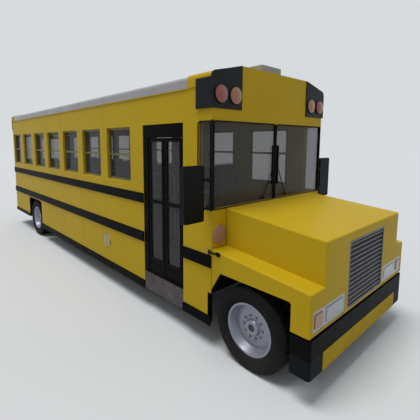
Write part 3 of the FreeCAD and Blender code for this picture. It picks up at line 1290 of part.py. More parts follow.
def bench_frame(x):
    """Steel frame of a right-hand bench: two bent end frames under a plywood pan."""
    y0, y1 = -HALF_W + WALL + WALL_CLEAR, -AISLE_HALF
    z = FLOOR_Z + FIT
    top = z + PAN_Z
    rear, front, under = x - SEAT_LEN + LEG_IN, x - LEG_IN, top - PAN_T
    outer = [(rear, z), (rear, under, LEG_BEND), (front, under, LEG_BEND), (front, z)]
    hole = rounded(rear + LEG_W, front - LEG_W, z + LEG_W, under - LEG_W, LEG_BEND - LEG_W)
    parts = [box(x - SEAT_LEN, x, y0, y1, under, top)]
    for y in (y0 + LEG_IN, y1 - LEG_IN - LEG_W):
        parts.append(prism_y(outer, y, y + LEG_W).cut(prism_y(hole, y - PAST, y + LEG_W + PAST)))
    return fused(parts)


def cushion_and_back(rear, front, y0, y1, pan_z, back_h):
    """Plain solids of one seat's cushion and of the back that leans behind it."""
    z = FLOOR_Z + pan_z + 2 * FIT
    top = FLOOR_Z + back_h
    back = [(rear - FIT, z), (rear - PAD_T, z), (rear - PAD_T - BACK_LEAN, top), (rear - BACK_LEAN, top)]
    return [box(rear, front, y0, y1, z, z + PAD_T), prism_y(back, y0, y1)]


def seat_frames():
    """Bench frames in their rows, and the driver's pedestal."""
    rows = []
    for x in bench_rows():
        rows += [bench_frame(x), other_side(bench_frame(x))]
    top = FLOOR_Z + DRIVER_PAN_Z + FIT
    rear = DRIVER_X - DRIVER_LEN
    post = box(rear + PEDESTAL_IN, DRIVER_X - PEDESTAL_IN, SEAT_Y - PEDESTAL_HALF, SEAT_Y + PEDESTAL_HALF,
               FLOOR_Z + FIT, top - PAN_T)
    pan = box(rear, DRIVER_X, SEAT_Y - DRIVER_HALF, SEAT_Y + DRIVER_HALF, top - PAN_T, top)
    return Part.makeCompound(rows + [fused([post, pan])])


def seats():
    """Cushions and backs of the benches and of the driver's seat."""
    y0, y1 = -HALF_W + WALL + WALL_CLEAR, -AISLE_HALF
    pads = []
    for x in bench_rows():
        for pad in cushion_and_back(x - SEAT_LEN, x, y0, y1, PAN_Z, BACK_H):
            pads += [pad, other_side(pad)]
    pads += cushion_and_back(DRIVER_X - DRIVER_LEN, DRIVER_X, SEAT_Y - DRIVER_HALF, SEAT_Y + DRIVER_HALF,
                             DRIVER_PAN_Z, DRIVER_BACK_H)
    return Part.makeCompound(pads)


def main():
    bracket, sign = stop_arm()
    flap_hinge, flap = filler()
    put("side_wall_right", side_wall(True).fuse(flap_hinge).removeSplitter())
    put("side_wall_left", side_wall(False).fuse(bracket).removeSplitter())
    put("cowl", cowl())
    put("rear_wall", rear_wall_with_hinges())
    put("roof", roof())
    put("hatch_lid", hatch()[1])
    put("front_cap", front_cap())
    put("rear_cap", rear_cap())
    put("lamp_panels", lamp_panels())
    put("lamps", roof_lamps())
    put("rub_rails", rub_rails())
    put("window_sashes", window_sashes())
    put("window_glass", window_glass())
    put("door_frame", door_frame())
    for word, rear_leaf in (("rear", True), ("front", False)):
        put("door_leaf_" + word, door_leaf(rear_leaf))
        put("door_glass_" + word, door_glass(rear_leaf))
    put("step_well", step_well())
    put("rear_door", rear_door())
    put("rear_door_glass", rear_door_glass())
    put("stop_sign", sign)
    put("filler_flap", flap)
    put("hood", nose())
    put("grille", grille())
    put("headlamps", headlamps())
    put("bumper_front", bumper_front())
    put("bumper_rear", bumper_rear())
    put("mirrors", mirrors())
    put("wipers", wipers())
    put("floor", floor())
    put("frame_rails", frame_rails())
    put("engine", engine())
    put("fuel_tank", fuel_tank())
    put("exhaust", exhaust())
    put("front_axle", front_axle())
    put("rear_axle", rear_axle())
    put("dashboard", dashboard())
    put("seat_frames", seat_frames())
    put("seats", seats())
    tyre, rim = wheel(AXLE_F, -WHEEL_Y)
    tyres, rims = wheel_rear()
    for word, place in (("right", lambda shape: shape), ("left", other_side)):
        put("knuckle_" + word, place(knuckle()))
        put("tyre_front_" + word, place(tyre))
        put("rim_front_" + word, place(rim))
        put("tyres_rear_" + word, place(tyres))
        put("rims_rear_" + word, place(rims))


main()
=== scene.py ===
import math

import bmesh
import bpy
from mathutils import Matrix, Vector


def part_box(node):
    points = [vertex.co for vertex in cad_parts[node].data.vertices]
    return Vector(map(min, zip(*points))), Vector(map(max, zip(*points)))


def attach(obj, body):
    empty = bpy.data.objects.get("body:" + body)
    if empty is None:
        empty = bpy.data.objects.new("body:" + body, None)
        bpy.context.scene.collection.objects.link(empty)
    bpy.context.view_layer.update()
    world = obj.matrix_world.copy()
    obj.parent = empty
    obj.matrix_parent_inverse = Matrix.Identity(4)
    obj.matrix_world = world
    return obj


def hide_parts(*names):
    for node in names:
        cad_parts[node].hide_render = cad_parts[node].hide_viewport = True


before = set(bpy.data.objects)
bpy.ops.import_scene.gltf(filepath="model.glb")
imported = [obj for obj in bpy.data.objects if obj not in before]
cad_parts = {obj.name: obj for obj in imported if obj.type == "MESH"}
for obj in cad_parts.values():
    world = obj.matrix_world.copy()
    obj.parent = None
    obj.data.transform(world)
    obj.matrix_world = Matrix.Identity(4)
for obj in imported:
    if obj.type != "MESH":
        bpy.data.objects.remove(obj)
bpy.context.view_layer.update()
bpy.context.scene.view_settings.view_transform = "Standard"


# Chassis: a ladder of pressed steel channel rails with riveted cross members,
# sprayed with one thick coat of semi-gloss black, and greyed low down by road dust.
# The axles and steering knuckles wear the same coat.

def linear(*srgb):
    """A colour read on screen, 0 to 255, as the light values that a shader takes."""
    shares = [value / 255.0 for value in srgb]
    return tuple(s / 12.92 if s <= 0.04045 else ((s + 0.055) / 1.055) ** 2.4 for s in shares) + (1.0,)


class ShaderTree:
    """The nodes of one finish, effect or sky, and the links between them."""

    def __init__(self, tree):
        self.tree = tree
        self.nodes, self.links = tree.nodes, tree.links

    def feed(self, node, sockets):
        """Gives inputs of a node their values, or the outputs that they read."""
        for socket, value in sockets.items():
            if isinstance(value, bpy.types.NodeSocket):
                self.links.new(value, node.inputs[socket])
            else:
                node.inputs[socket].default_value = value

    def add(self, kind, sockets=None, **settings):
        """A new node with its settings and inputs."""
        node = self.nodes.new("ShaderNode" + kind)
        for name, value in settings.items():
            setattr(node, name, value)
        self.feed(node, sockets or {})
        return node

    def place(self):
        """Where on the object a point lies."""
        return self.add("TexCoord").outputs["Object"]

    def noise(self, place, scale, **sockets):
        """Soft clouds of a given fineness."""
        return self.add("TexNoise", {"Vector": place, "Scale": scale, **sockets}).outputs["Fac"]

    def worked(self, operation, *terms, clamp=False):
        """The result of one step of arithmetic."""
        return self.add("Math", dict(enumerate(terms)), operation=operation, use_clamp=clamp).outputs[0]

    def ranged(self, value, low, high, start=0.0, end=1.0):
        """A value brought from one range into another."""
        sockets = {"Value": value, "From Min": low, "From Max": high, "To Min": start, "To Max": end}
        return self.add("MapRange", sockets).outputs["Result"]

    def mixed(self, share, under, over):
        """One colour over another, by a share from 0 to 1."""
        return self.add("Mix", {"Factor": share, "A": under, "B": over}, data_type="RGBA").outputs["Result"]


def effect(name, inputs, outputs):
    """An empty shared effect with named inputs, which have usual values, and named outputs."""
    group = bpy.data.node_groups.new(name, "ShaderNodeTree")
    for label, value in inputs.items():
        kind = "NodeSocketColor" if isinstance(value, tuple) else "NodeSocketFloat"
        group.interface.new_socket(name=label, in_out="INPUT", socket_type=kind).default_value = value
    for label, kind in outputs.items():
        group.interface.new_socket(name=label, in_out="OUTPUT", socket_type="NodeSocket" + kind)
    return ShaderTree(group), group.nodes.new("NodeGroupInput").outputs, group.nodes.new("NodeGroupOutput")


def road_dust():
    """Patchy tone over a whole coat, and dust that thickens towards the road."""
    tree, given, result = effect(
        "road_dust",
        {"Colour": (0.5, 0.5, 0.5, 1.0), "Dust": (0.3, 0.27, 0.23, 1.0), "Patch size": 1.5, "Tone": 0.08,
         "Splash": 0.3, "Splash height": 1.2, "Roughness": 0.35},
        {"Colour": "Color", "Roughness": "Float"})
    place = tree.place()
    height = tree.add("SeparateXYZ", {"Vector": place}).outputs["Z"]
    low = tree.ranged(height, 0.0, given["Splash height"], 1.0, 0.0)
    speckle = tree.worked("MULTIPLY", low, tree.noise(place, 22.0, Detail=6.0))
    mask = tree.worked("MULTIPLY", speckle, given["Splash"], clamp=True)
    tone = tree.ranged(tree.noise(place, given["Patch size"], Detail=5.0), 0.3, 0.7, 0.0, given["Tone"])
    dull = tree.mixed(tone, given["Colour"], (0.0, 0.0, 0.0, 1.0))
    rough = tree.worked("MULTIPLY_ADD", mask, 0.45, given["Roughness"], clamp=True)
    tree.feed(result, {"Colour": tree.mixed(mask, dull, given["Dust"]),
                       "Roughness": tree.worked("MULTIPLY_ADD", tone, 0.6, rough, clamp=True)})
    return tree.tree


def fine_relief():
    """Shallow unevenness of a coat or a moulding, as a normal."""
    tree, given, result = effect("fine_relief", {"Grain": 120.0, "Strength": 0.1, "Depth": 0.001},
                                 {"Normal": "Vector"})
    grain = tree.noise(tree.place(), given["Grain"], Detail=3.0)
    relief = tree.add("Bump", {"Height": grain, "Strength": given["Strength"], "Distance": given["Depth"]})
    tree.feed(result, {"Normal": relief.outputs["Normal"]})
    return tree.tree


def scuffs():
    """Small chips and drawn-out scratches, gathered in patches, that show what lies under a coat."""
    tree, given, result = effect(
        "scuffs", {"Colour": (0.5, 0.5, 0.5, 1.0), "Bare": (0.3, 0.3, 0.3, 1.0), "Amount": 0.2},
        {"Colour": "Color"})
    place = tree.place()
    drawn_out = tree.add("Mapping", {"Vector": place, "Scale": (0.3, 1.0, 1.0)}).outputs["Vector"]
    marks = tree.noise(drawn_out, 26.0, Detail=9.0, Roughness=0.7)
    gathered = tree.noise(place, 2.3)
    mask = given["Amount"]
    for noise, low, high in ((marks, 0.58, 0.64), (gathered, 0.44, 0.6)):
        mask = tree.worked("MULTIPLY", mask, tree.ranged(noise, low, high))
    tree.feed(result, {"Colour": tree.mixed(mask, given["Colour"], given["Bare"])})
    return tree.tree


ROAD_DUST = road_dust()
FINE_RELIEF = fine_relief()
SCUFFS = scuffs()


class Finish(ShaderTree):
    """A material with its shader, and the three shared effects already joined to it."""

    def __init__(self, name, colour, roughness, tone=0.1, patch=1.5, splash=0.0, splash_height=1.2,
                 grain=120.0, relief=0.08, depth=0.001, dust=(0.24, 0.21, 0.17, 1.0), scuffed=0.0,
                 bare=(0.2, 0.2, 0.2, 1.0), **sockets):
        self.material = bpy.data.materials.new(name)
        self.material.use_nodes = True
        super().__init__(self.material.node_tree)
        self.shader = self.nodes["Principled BSDF"]
        self.dust = self.add("Group", node_tree=ROAD_DUST, sockets={
            "Colour": colour, "Dust": dust, "Patch size": patch, "Tone": tone, "Splash": splash,
            "Splash height": splash_height, "Roughness": roughness})
        self.relief = self.add("Group", node_tree=FINE_RELIEF, sockets={
            "Grain": grain, "Strength": relief, "Depth": depth}).outputs["Normal"]
        worn = self.add("Group", node_tree=SCUFFS, sockets={
            "Colour": self.dust.outputs["Colour"], "Amount": scuffed, "Bare": bare})
        self.feed(self.shader, {"Base Color": worn.outputs["Colour"], "Normal": self.relief,
                                "Roughness": self.dust.outputs["Roughness"]})
        self.feed(self.shader, {socket.replace("_", " "): value for socket, value in sockets.items()})

    def where(self, **limits):
        """A mask that is 1 inside the given limits of x, z or across, in metres, and 0 outside."""
        split = self.add("SeparateXYZ", {"Vector": self.place()}).outputs
        source = {"x": split["X"], "z": split["Z"], "across": self.worked("ABSOLUTE", split["Y"])}
        mask = 1.0
        for axis, bounds in limits.items():
            for bound, test in zip(bounds, ("GREATER_THAN", "LESS_THAN")):
                if bound is not None:
                    mask = self.worked("MULTIPLY", mask, self.worked(test, source[axis], bound))
        return mask

    def recolour(self, colour, **limits):
        """Another colour of the same coat inside some limits."""
        coat = self.dust.inputs["Colour"]
        under = coat.links[0].from_socket if coat.is_linked else tuple(coat.default_value)
        self.feed(self.dust, {"Colour": self.mixed(self.where(**limits), under, colour)})

    def coat(self, *nodes):
        """Puts the finish on CAD nodes."""
        for node in nodes:
            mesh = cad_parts[node].data
            mesh.materials.clear()
            mesh.materials.append(self.material)


chassis_black = Finish("chassis_black", linear(26, 26, 27), 0.5, tone=0.2, splash=0.9, splash_height=1.1,
                       grain=240.0, relief=0.25, scuffed=0.5, bare=linear(84, 66, 54), Specular_IOR_Level=0.4)
chassis_black.coat("frame_rails", "front_axle", "rear_axle", "knuckle_right", "knuckle_left")

engine_iron = Finish("engine_iron", linear(84, 88, 88), 0.55, tone=0.3, patch=6.0, splash=0.8,
                     splash_height=1.4, grain=400.0, relief=0.5, Metallic=0.6)
engine_iron.coat("engine")

tank_black = Finish("tank_black", linear(30, 30, 30), 0.42, tone=0.15, splash=0.8, Coat_Weight=0.15)
tank_black.coat("fuel_tank")

exhaust_steel = Finish("exhaust_steel", linear(110, 104, 98), 0.45, tone=0.3, patch=5.0, splash=0.9,
                       dust=linear(92, 66, 48), Metallic=0.85)
exhaust_steel.coat("exhaust")


# Wheels: black rubber tyres 0.93 m across, moulded with a block tread and plain
# sidewalls, on pressed steel discs painted silver and held by ten nuts on a circle.
# The rear ones are twins, dish to dish, and each pair turns as one.

TYRE_RADIUS = 0.465
TYRE_WIDTH = 0.25
BEAD_RADIUS = 0.29
TREAD_DEPTH = 0.012
TREAD_STEPS = 120        # faces round the crown, four to each block and its groove
CROWN_HALF = 0.092
GROOVES = (0.0, 0.048)   # across, on both sides of the middle
GROOVE_HALF = 0.004
AXLE_X = {"front": 4.2015, "rear": -2.9845}
WHEEL_ACROSS = 1.08
TWIN_STEP = 0.29
SIDES = (("right", -1), ("left", 1))


def verts_of(made):
    """The corners among what an operator has made."""
    return [item for item in made["geom"] if isinstance(item, bmesh.types.BMVert)]


def spun(profile, axis, steps):
    """A closed profile of (radius, along) turned about a level axis, X or Y."""
    along, outward = Vector(axis), Vector((axis[1], axis[0], 0.0))
    bm = bmesh.new()
    ring = [bm.verts.new(outward * radius + along * reach) for radius, reach in profile]
    edges = [bm.edges.new(pair) for pair in zip(ring, ring[1:] + ring[:1])]
    bmesh.ops.spin(bm, geom=ring + edges, cent=(0, 0, 0), axis=axis, angle=math.tau, steps=steps,
                   use_merge=True)
    return bm


def softened(bm, edges, offset, segments=1):
    """Chamfers or rounds some edges."""
    bmesh.ops.bevel(bm, geom=edges, offset=offset, segments=segments, profile=0.5, affect="EDGES",
                    material=-1)


def as_mesh(name, bm):
    """A bmesh written out as a mesh."""
    mesh = bpy.data.meshes.new(name)
    bm.to_mesh(mesh)
    bm.free()
    return mesh


def copies(source, places):
    """A bmesh with one copy of a small bmesh at each place."""
    pattern = as_mesh("pattern", source)
    whole = bmesh.new()
    for place in places:
        start = len(whole.verts)
        whole.from_mesh(pattern)
        whole.verts.ensure_lookup_table()
        bmesh.ops.transform(whole, matrix=place, verts=whole.verts[start:])
    bpy.data.meshes.remove(pattern)
    return whole


def in_scene(name, data):
    """An object that stands in the scene."""
    thing = bpy.data.objects.new(name, data)
    bpy.context.scene.collection.objects.link(thing)
    return thing


def piece_of(name, mesh, finish, smooth=True, sharp=None):
    """A mesh with its place in it as an object, shaded smooth up to a sharp angle."""
    mesh.materials.clear()
    mesh.materials.append(finish.material)
    for polygon in mesh.polygons:
        polygon.use_smooth = smooth
    if smooth and sharp:
        mesh.set_sharp_from_angle(angle=math.radians(sharp))
    return in_scene(name, mesh)


def finished(name, bm, finish, smooth=True):
    """A bmesh with its doubles merged and its faces turned outwards, as an object."""
    bmesh.ops.remove_doubles(bm, verts=bm.verts, dist=1e-5)
    bmesh.ops.recalc_face_normals(bm, faces=bm.faces)
    return piece_of(name, as_mesh(name, bm), finish, smooth, sharp=32.0)


def fitted(piece, body="root", replaces=None):
    """Says which body a piece rides on and which CAD node it stands in for."""
    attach(piece, body)
    if replaces:
        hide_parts(replaces)


def tyre_mesh():
    """One tyre at the origin, with blocks cut into its crown."""
    half = TYRE_WIDTH / 2.0
    edges = [groove + step for groove in GROOVES for step in (-GROOVE_HALF, GROOVE_HALF)]
    edges = sorted({round(sign * edge, 4) for edge in edges + [0.088, CROWN_HALF] for sign in (-1, 1)})
    crown = [(TYRE_RADIUS, across) for across in edges]
    right = [(TYRE_RADIUS - 0.012, 0.108), (TYRE_RADIUS - 0.035, 0.118), (0.385, half - 0.0008),
             (0.345, half - 0.004), (0.318, 0.112), (BEAD_RADIUS + 0.012, 0.104),
             (BEAD_RADIUS + 0.001, 0.098)]
    left = [(radius, -across) for radius, across in reversed(right)]
    bm = spun(crown + right + left, (0, 1, 0), TREAD_STEPS)
    bmesh.ops.recalc_face_normals(bm, faces=bm.faces)
    groove = []
    for face in bm.faces:
        centre = face.calc_center_median()
        if math.hypot(centre.x, centre.z) < TYRE_RADIUS - 0.002:
            continue
        step = round(math.atan2(centre.z, centre.x) / math.tau * TREAD_STEPS - 0.5) % 4
        lengthwise = min(abs(abs(centre.y) - across) for across in GROOVES) < GROOVE_HALF
        if lengthwise or step == (0 if centre.y > 0 else 2):
            groove.append(face)
    cut = bmesh.ops.extrude_face_region(bm, geom=groove)
    bmesh.ops.delete(bm, geom=groove, context="FACES_KEEP_BOUNDARY")
    for vert in verts_of(cut):
        radius = math.hypot(vert.co.x, vert.co.z)
        share = (radius - TREAD_DEPTH) / radius
        vert.co.x *= share
        vert.co.z *= share
    return bm


rubber = Finish("tyre_rubber", linear(14, 14, 15), 0.75, tone=0.25, patch=7.0, splash=0.16, splash_height=0.5,
                grain=300.0, relief=0.35, Specular_IOR_Level=0.2)
rubber.coat("tyre_front_right", "tyre_front_left", "tyres_rear_right", "tyres_rear_left")

silver_paint = Finish("wheel_silver", linear(150, 154, 168), 0.34, tone=0.12, patch=5.0, splash=0.35,
                      splash_height=0.6, grain=500.0, relief=0.12, scuffed=0.3, bare=linear(96, 88, 82),
                      Metallic=0.55, Coat_Weight=0.2)
silver_paint.coat("rim_front_right", "rim_front_left", "rims_rear_right", "rims_rear_left")

for side, across in SIDES:
    for axle, name, steps in (("front", "tyre_front", (0.0,)), ("rear", "tyres_rear", (0.0, TWIN_STEP))):
        places = [Matrix.Translation((AXLE_X[axle], across * (WHEEL_ACROSS - inboard), TYRE_RADIUS))
                  for inboard in steps]
        tyres = finished(f"treaded_tyre_{axle}_{side}", copies(tyre_mesh(), places), rubber)
        fitted(tyres, f"wheel_{axle}_{side}", f"{name}_{side}")

NUTS = 10
NUT_CIRCLE = 0.125
NUT_RADIUS = 0.014
NUT_HEIGHT = 0.016
DISC_OUTBOARD = 0.022


def hexagon_nut():
    """A chamfered hexagon nut, standing up along Z from the origin."""
    bm = bmesh.new()
    bmesh.ops.create_cone(bm, cap_ends=True, segments=6, radius1=NUT_RADIUS, radius2=NUT_RADIUS,
                          depth=NUT_HEIGHT)
    bmesh.ops.translate(bm, verts=bm.verts, vec=(0, 0, NUT_HEIGHT / 2.0))
    top = [edge for edge in bm.edges if all(vert.co.z > NUT_HEIGHT * 0.9 for vert in edge.verts)]
    softened(bm, top, NUT_RADIUS * 0.16)
    return bm


def small_parts(name, source, places, finish, body="root", smooth=True):
    """One piece made of many copies of a small part."""
    mesh = as_mesh(name, copies(source, places))
    fitted(piece_of(name, mesh, finish, smooth, sharp=35.0), body)


def facing(point, direction, turn=0.0):
    """A place at a point, with its Z axis along a direction."""
    return (Matrix.Translation(point) @ Vector(direction).to_track_quat("Z", "Y").to_matrix().to_4x4()
            @ Matrix.Rotation(turn, 4, "Z"))


plated_steel = Finish("plated_steel", linear(140, 140, 142), 0.36, tone=0.2, patch=30.0, splash=0.5,
                      Metallic=0.9)
for side, across in SIDES:
    for axle, x in AXLE_X.items():
        nuts = []
        for angle in (math.tau * k / NUTS for k in range(NUTS)):
            spot = (x + NUT_CIRCLE * math.cos(angle), across * (WHEEL_ACROSS + DISC_OUTBOARD),
                    TYRE_RADIUS + NUT_CIRCLE * math.sin(angle))
            nuts.append(facing(spot, (0, across, 0), angle))
        small_parts(f"wheel_nuts_{axle}_{side}", hexagon_nut(), nuts, plated_steel,
                    f"wheel_{axle}_{side}", smooth=False)


# Body shell: welded and riveted steel panels on hoops, one colour of glossy
# yellow enamel from skirt to eaves, over the caps, the cowl and the rear door too.
# Lap strips cover the joints of the side panels at each pillar, with a row of rivets.

COWL_X = 3.6715
REAR_X = COWL_X - 8.513
NOSE_X = 4.885
SIDE = 1.22
WINDOW_WIDTH = 0.745
PILLAR = 0.245
WINDOW_FRONTS = [COWL_X - 1.748 - (WINDOW_WIDTH + PILLAR) * k for k in range(7)]
PILLARS = [front - WINDOW_WIDTH - PILLAR / 2.0 for front in WINDOW_FRONTS[:6]]
SKIRT_TOP = 0.985
YELLOW = linear(203, 170, 27)
POST_BLACK = linear(9, 9, 10)
UNDERCOAT = linear(13, 13, 14)

enamel = Finish("yellow_enamel", YELLOW, 0.48, tone=0.07, patch=0.9, splash=0.08, splash_height=1.3,
                grain=260.0, relief=0.05, dust=linear(128, 110, 58), scuffed=0.22, bare=linear(150, 128, 62),
                Coat_Weight=0.05, Coat_Roughness=0.15, Specular_IOR_Level=0.1)
# The low box on the front of the roof is grey, the posts of the windscreen are black, and
# the inner faces of the skirts and arches are undercoated.
enamel.recolour(linear(168, 167, 168), x=(COWL_X - 0.34, COWL_X - 0.08), across=(None, 0.2255),
                z=(3.3605, None))
enamel.recolour(POST_BLACK, x=(COWL_X - 0.033, COWL_X + 0.004), across=(1.1875, None), z=(1.683, 2.717))
enamel.recolour(POST_BLACK, x=(COWL_X - 0.024, COWL_X + 0.004), across=(None, 0.016), z=(1.70, 2.70))
for rear, front, skin in ((REAR_X + 0.01, COWL_X + 0.006, 0.006), (COWL_X + 0.006, NOSE_X, 0.015)):
    enamel.recolour(UNDERCOAT, x=(rear, front), across=(None, SIDE - skin), z=(None, SKIRT_TOP))
enamel.coat("side_wall_right", "side_wall_left", "cowl", "rear_wall", "front_cap", "rear_cap", "rear_door",
            "hood")


def rivet(radius=0.005, height=0.0022):
    """A low domed head, standing up along Z from just under the origin."""
    bm = bmesh.new()
    bmesh.ops.create_cone(bm, cap_ends=False, segments=8, radius1=radius, radius2=radius * 0.55, depth=height)
    bmesh.ops.translate(bm, verts=bm.verts, vec=(0, 0, height / 2.0))
    rim = [edge for edge in bm.edges if edge.is_boundary and edge.verts[0].co.z > height * 0.9]
    bmesh.ops.contextual_create(bm, geom=rim)
    return bm


def flat_strips(name, boxes, finish, body="root", soften=0.0006):
    """Thin flat strips, given by their low and high corners, with softened edges."""
    bm = bmesh.new()
    for low, high in boxes:
        size = [b - a for a, b in zip(low, high)]
        centre = [(a + b) / 2.0 for a, b in zip(low, high)]
        place = Matrix.Translation(centre) @ Matrix.Diagonal(size + [1.0])
        made = bmesh.ops.create_cube(bm, size=1.0, matrix=place)
        if soften:
            softened(bm, list({edge for vert in made["verts"] for edge in vert.link_edges}), soften)
    fitted(finished(name, bm, finish, smooth=False), body)


def side_box(across, along, out, up):
    """Low and high corners of a block on one side, given how far out from the middle it reaches."""
    y0, y1 = sorted(across * reach for reach in out)
    return (along[0], y0, up[0]), (along[1], y1, up[1])


def around(middle, half):
    """Both ends of a span, from its middle."""
    return middle - half, middle + half


LAP_WIDTH = 0.026
LAP_FACE = SIDE + 0.0016
LAP_BANDS = ((0.42, 0.998), (1.164, 1.580), (1.737, 3.098))
ARCH_HALF = 0.6
RIVET_PITCH = 0.075
GUTTER_Z = 3.086
for side, across in SIDES:
    laps, heads = [], []
    for x in PILLARS:
        for low, high in LAP_BANDS:
            if low < SKIRT_TOP and abs(x - AXLE_X["rear"]) < ARCH_HALF:
                continue
            laps.append(side_box(across, around(x, LAP_WIDTH / 2), (SIDE, LAP_FACE), (low, high)))
            count = int((high - low) / RIVET_PITCH)
            for k in range(count):
                z = low + (k + 0.5) * (high - low) / count
                heads.append(facing((x, across * LAP_FACE, z), (0, across, 0)))
    flat_strips(f"panel_laps_{side}", laps, enamel)
    small_parts(f"panel_rivets_{side}", rivet(), heads, enamel)
    span = (REAR_X + 0.2, COWL_X - 0.42)
    flat_strips(f"drip_gutter_{side}", [
        side_box(across, span, (SIDE, SIDE + 0.013), (GUTTER_Z, GUTTER_Z + 0.003)),
        side_box(across, span, (SIDE + 0.011, SIDE + 0.013), (GUTTER_Z, GUTTER_Z + 0.012))],
        enamel)


# Rub rails: rolled steel sections bolted through the skin to the hoops, sprayed
# satin black like the skirt strip below them and the frame round the entrance.

satin_black = Finish("satin_black", linear(5, 5, 5), 0.45, patch=2.0, splash=0.06,
                     splash_height=1.0, grain=300.0, relief=0.1, dust=linear(40, 38, 35), scuffed=0.35,
                     bare=linear(62, 62, 62), Specular_IOR_Level=0.04)
satin_black.coat("rub_rails", "door_frame", "door_leaf_rear", "door_leaf_front", "bumper_rear")
RAIL_FACE = SIDE + 0.018
RAIL_MIDDLES = (1.6585, 1.081)
RAIL_FRONT = {"right": COWL_X - 1.46, "left": COWL_X - 0.12}
BOLT_PITCH = 0.33
for side, across in SIDES:
    count = int((RAIL_FRONT[side] - REAR_X - 0.1) / BOLT_PITCH) + 1
    bolts = [facing((RAIL_FRONT[side] - k * BOLT_PITCH, across * RAIL_FACE, middle), (0, across, 0))
             for middle in RAIL_MIDDLES for k in range(count)]
    small_parts(f"rail_bolts_{side}", rivet(0.009, 0.0035), bolts, satin_black)


# Roof: pressed panels over the hoops, painted off-white to keep the cabin cool,
# with a lap strip over each hoop, and a hatch to climb out by.

roof_white = Finish("roof_white", linear(176, 174, 178), 0.46, tone=0.12, patch=1.4, grain=200.0,
                    relief=0.06, Coat_Weight=0.15, Specular_IOR_Level=0.35)
roof_white.coat("roof", "hatch_lid")
EAVE_Z = 3.102
ROOF_EDGE_Z = 3.229
ROOF_BEND = 0.048
ROOF_TOP = (0.738, 3.349)
ROOF_SLOPE = math.atan2(0.12, 0.482)
LAP_LIFT = 0.0022


def roof_lap():
    """A strip over one hoop, from eave to eave, standing a little proud of the roof."""
    corner = math.pi / 2.0 - ROOF_SLOPE
    hub = (SIDE - ROOF_BEND, ROOF_EDGE_Z - ROOF_BEND * math.tan(corner / 2.0))
    bend = [(hub[0] + ROOF_BEND * math.cos(turn), hub[1] + ROOF_BEND * math.sin(turn))
            for turn in (corner * k / 6.0 for k in range(7))]
    half = [(SIDE, EAVE_Z)] + bend + [ROOF_TOP]
    line = [(-across, height) for across, height in half] + half[::-1]
    bm = bmesh.new()
    verts = [bm.verts.new((-LAP_WIDTH / 2, across, height)) for across, height in line]
    edges = [bm.edges.new(pair) for pair in zip(verts, verts[1:])]
    out = bmesh.ops.extrude_edge_only(bm, edges=edges)
    bmesh.ops.translate(bm, vec=(LAP_WIDTH, 0, 0), verts=verts_of(out))
    bmesh.ops.recalc_face_normals(bm, faces=bm.faces)
    if sum(face.normal.z * face.calc_area() for face in bm.faces) < 0:
        bmesh.ops.reverse_faces(bm, faces=bm.faces)
    bmesh.ops.solidify(bm, geom=bm.faces[:], thickness=-LAP_LIFT)
    return bm


hoops = [Matrix.Translation((x, 0, 0)) for x in PILLARS + [WINDOW_FRONTS[0] + 0.12]]
fitted(finished("roof_laps", copies(roof_lap(), hoops), roof_white, smooth=False))


# Lamp panels and lamps: black painted panels wrap the roof's corners, front and rear,
# and carry round warning lamps, red outboard and amber inboard, with ribbed lenses.

panel_black = Finish("panel_black", linear(14, 21, 25), 0.42, patch=2.0, grain=300.0,
                     relief=0.1, Specular_IOR_Level=0.18)
panel_black.coat("lamp_panels")


class Lens(Finish):
    """A clear or coloured plastic lens with moulded ribs under its gloss."""

    def __init__(self, name, colour, pitch, **more):
        super().__init__(name, colour, 0.18, tone=0.08, patch=9.0, splash=0.1, Coat_Weight=0.4,
                         Coat_Roughness=0.05, **more)
        ribs = self.add("TexWave", {"Scale": pitch, "Vector": self.place()}, wave_type="BANDS",
                        bands_direction="Y", wave_profile="SIN")
        bump = self.add("Bump", {"Strength": 0.4, "Distance": 0.002, "Height": ribs.outputs["Fac"]})
        self.feed(self.shader, {"Normal": bump.outputs["Normal"]})


BELOW_ROOF = 2.5
warning_lens = Lens("warning_lens", linear(164, 108, 74), 11.0)
# Red outboard on the roof, and paler on the cowl.
warning_lens.recolour(linear(150, 66, 56), across=(0.98, None), z=(BELOW_ROOF, None))
warning_lens.recolour(linear(166, 130, 118), x=(3.0, None), z=(None, 1.6))
warning_lens.coat("lamps")


def lamp_rims(name, finish, plane, forward, spots, radius, width, depth):
    """Rounded rims round several lamps on a plane across X, at each (across, height)."""
    rim = ((0.0, 0.0), (1.0, 0.0), (1.0, 0.6), (0.7, 1.0), (0.2, 1.0), (0.0, 0.7))
    profile = [(radius + width * out, depth * proud) for out, proud in rim]
    places = [Matrix.Translation((plane, across, height)) @ Matrix.Diagonal((forward, 1, 1, 1))
              for across, height in spots]
    fitted(finished(name, copies(spun(profile, (1, 0, 0), 40), places), finish))


roof_spots = [(side * across, 3.004) for across in (0.857, 1.104) for side in (-1, 1)]
rear_plane, front_plane = (corner.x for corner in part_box("lamp_panels"))
for name, plane, forward in (("front", front_plane, 1), ("rear", rear_plane, -1)):
    lamp_rims(f"roof_lamp_rims_{name}", panel_black, plane, forward, roof_spots,
              radius=0.096, width=0.008, depth=0.012)
cowl_spots = [(-1.096, 1.395), (1.096, 1.395)]
lamp_rims("cowl_lamp_rims", enamel, COWL_X, 1, cowl_spots,
          radius=0.112, width=0.007, depth=0.01)


# Windows: tinted safety glass. The side windows are two-part aluminium sashes pressed into the
# openings, coloured a dull olive that is painted shade, the yellow reveals as they look in shade;
# the windscreen and its corner panes sit in black rubber gaskets pulled over the edge of the steel.

tinted_glass = Finish("tinted_glass", linear(82, 82, 84), 0.06, tone=0.05, patch=1.2, relief=0.0,
                      Specular_IOR_Level=0.35, Alpha=0.36)
tinted_glass.material.surface_render_method = "BLENDED"
tinted_glass.coat("window_glass", "rear_door_glass", "door_glass_rear", "door_glass_front")
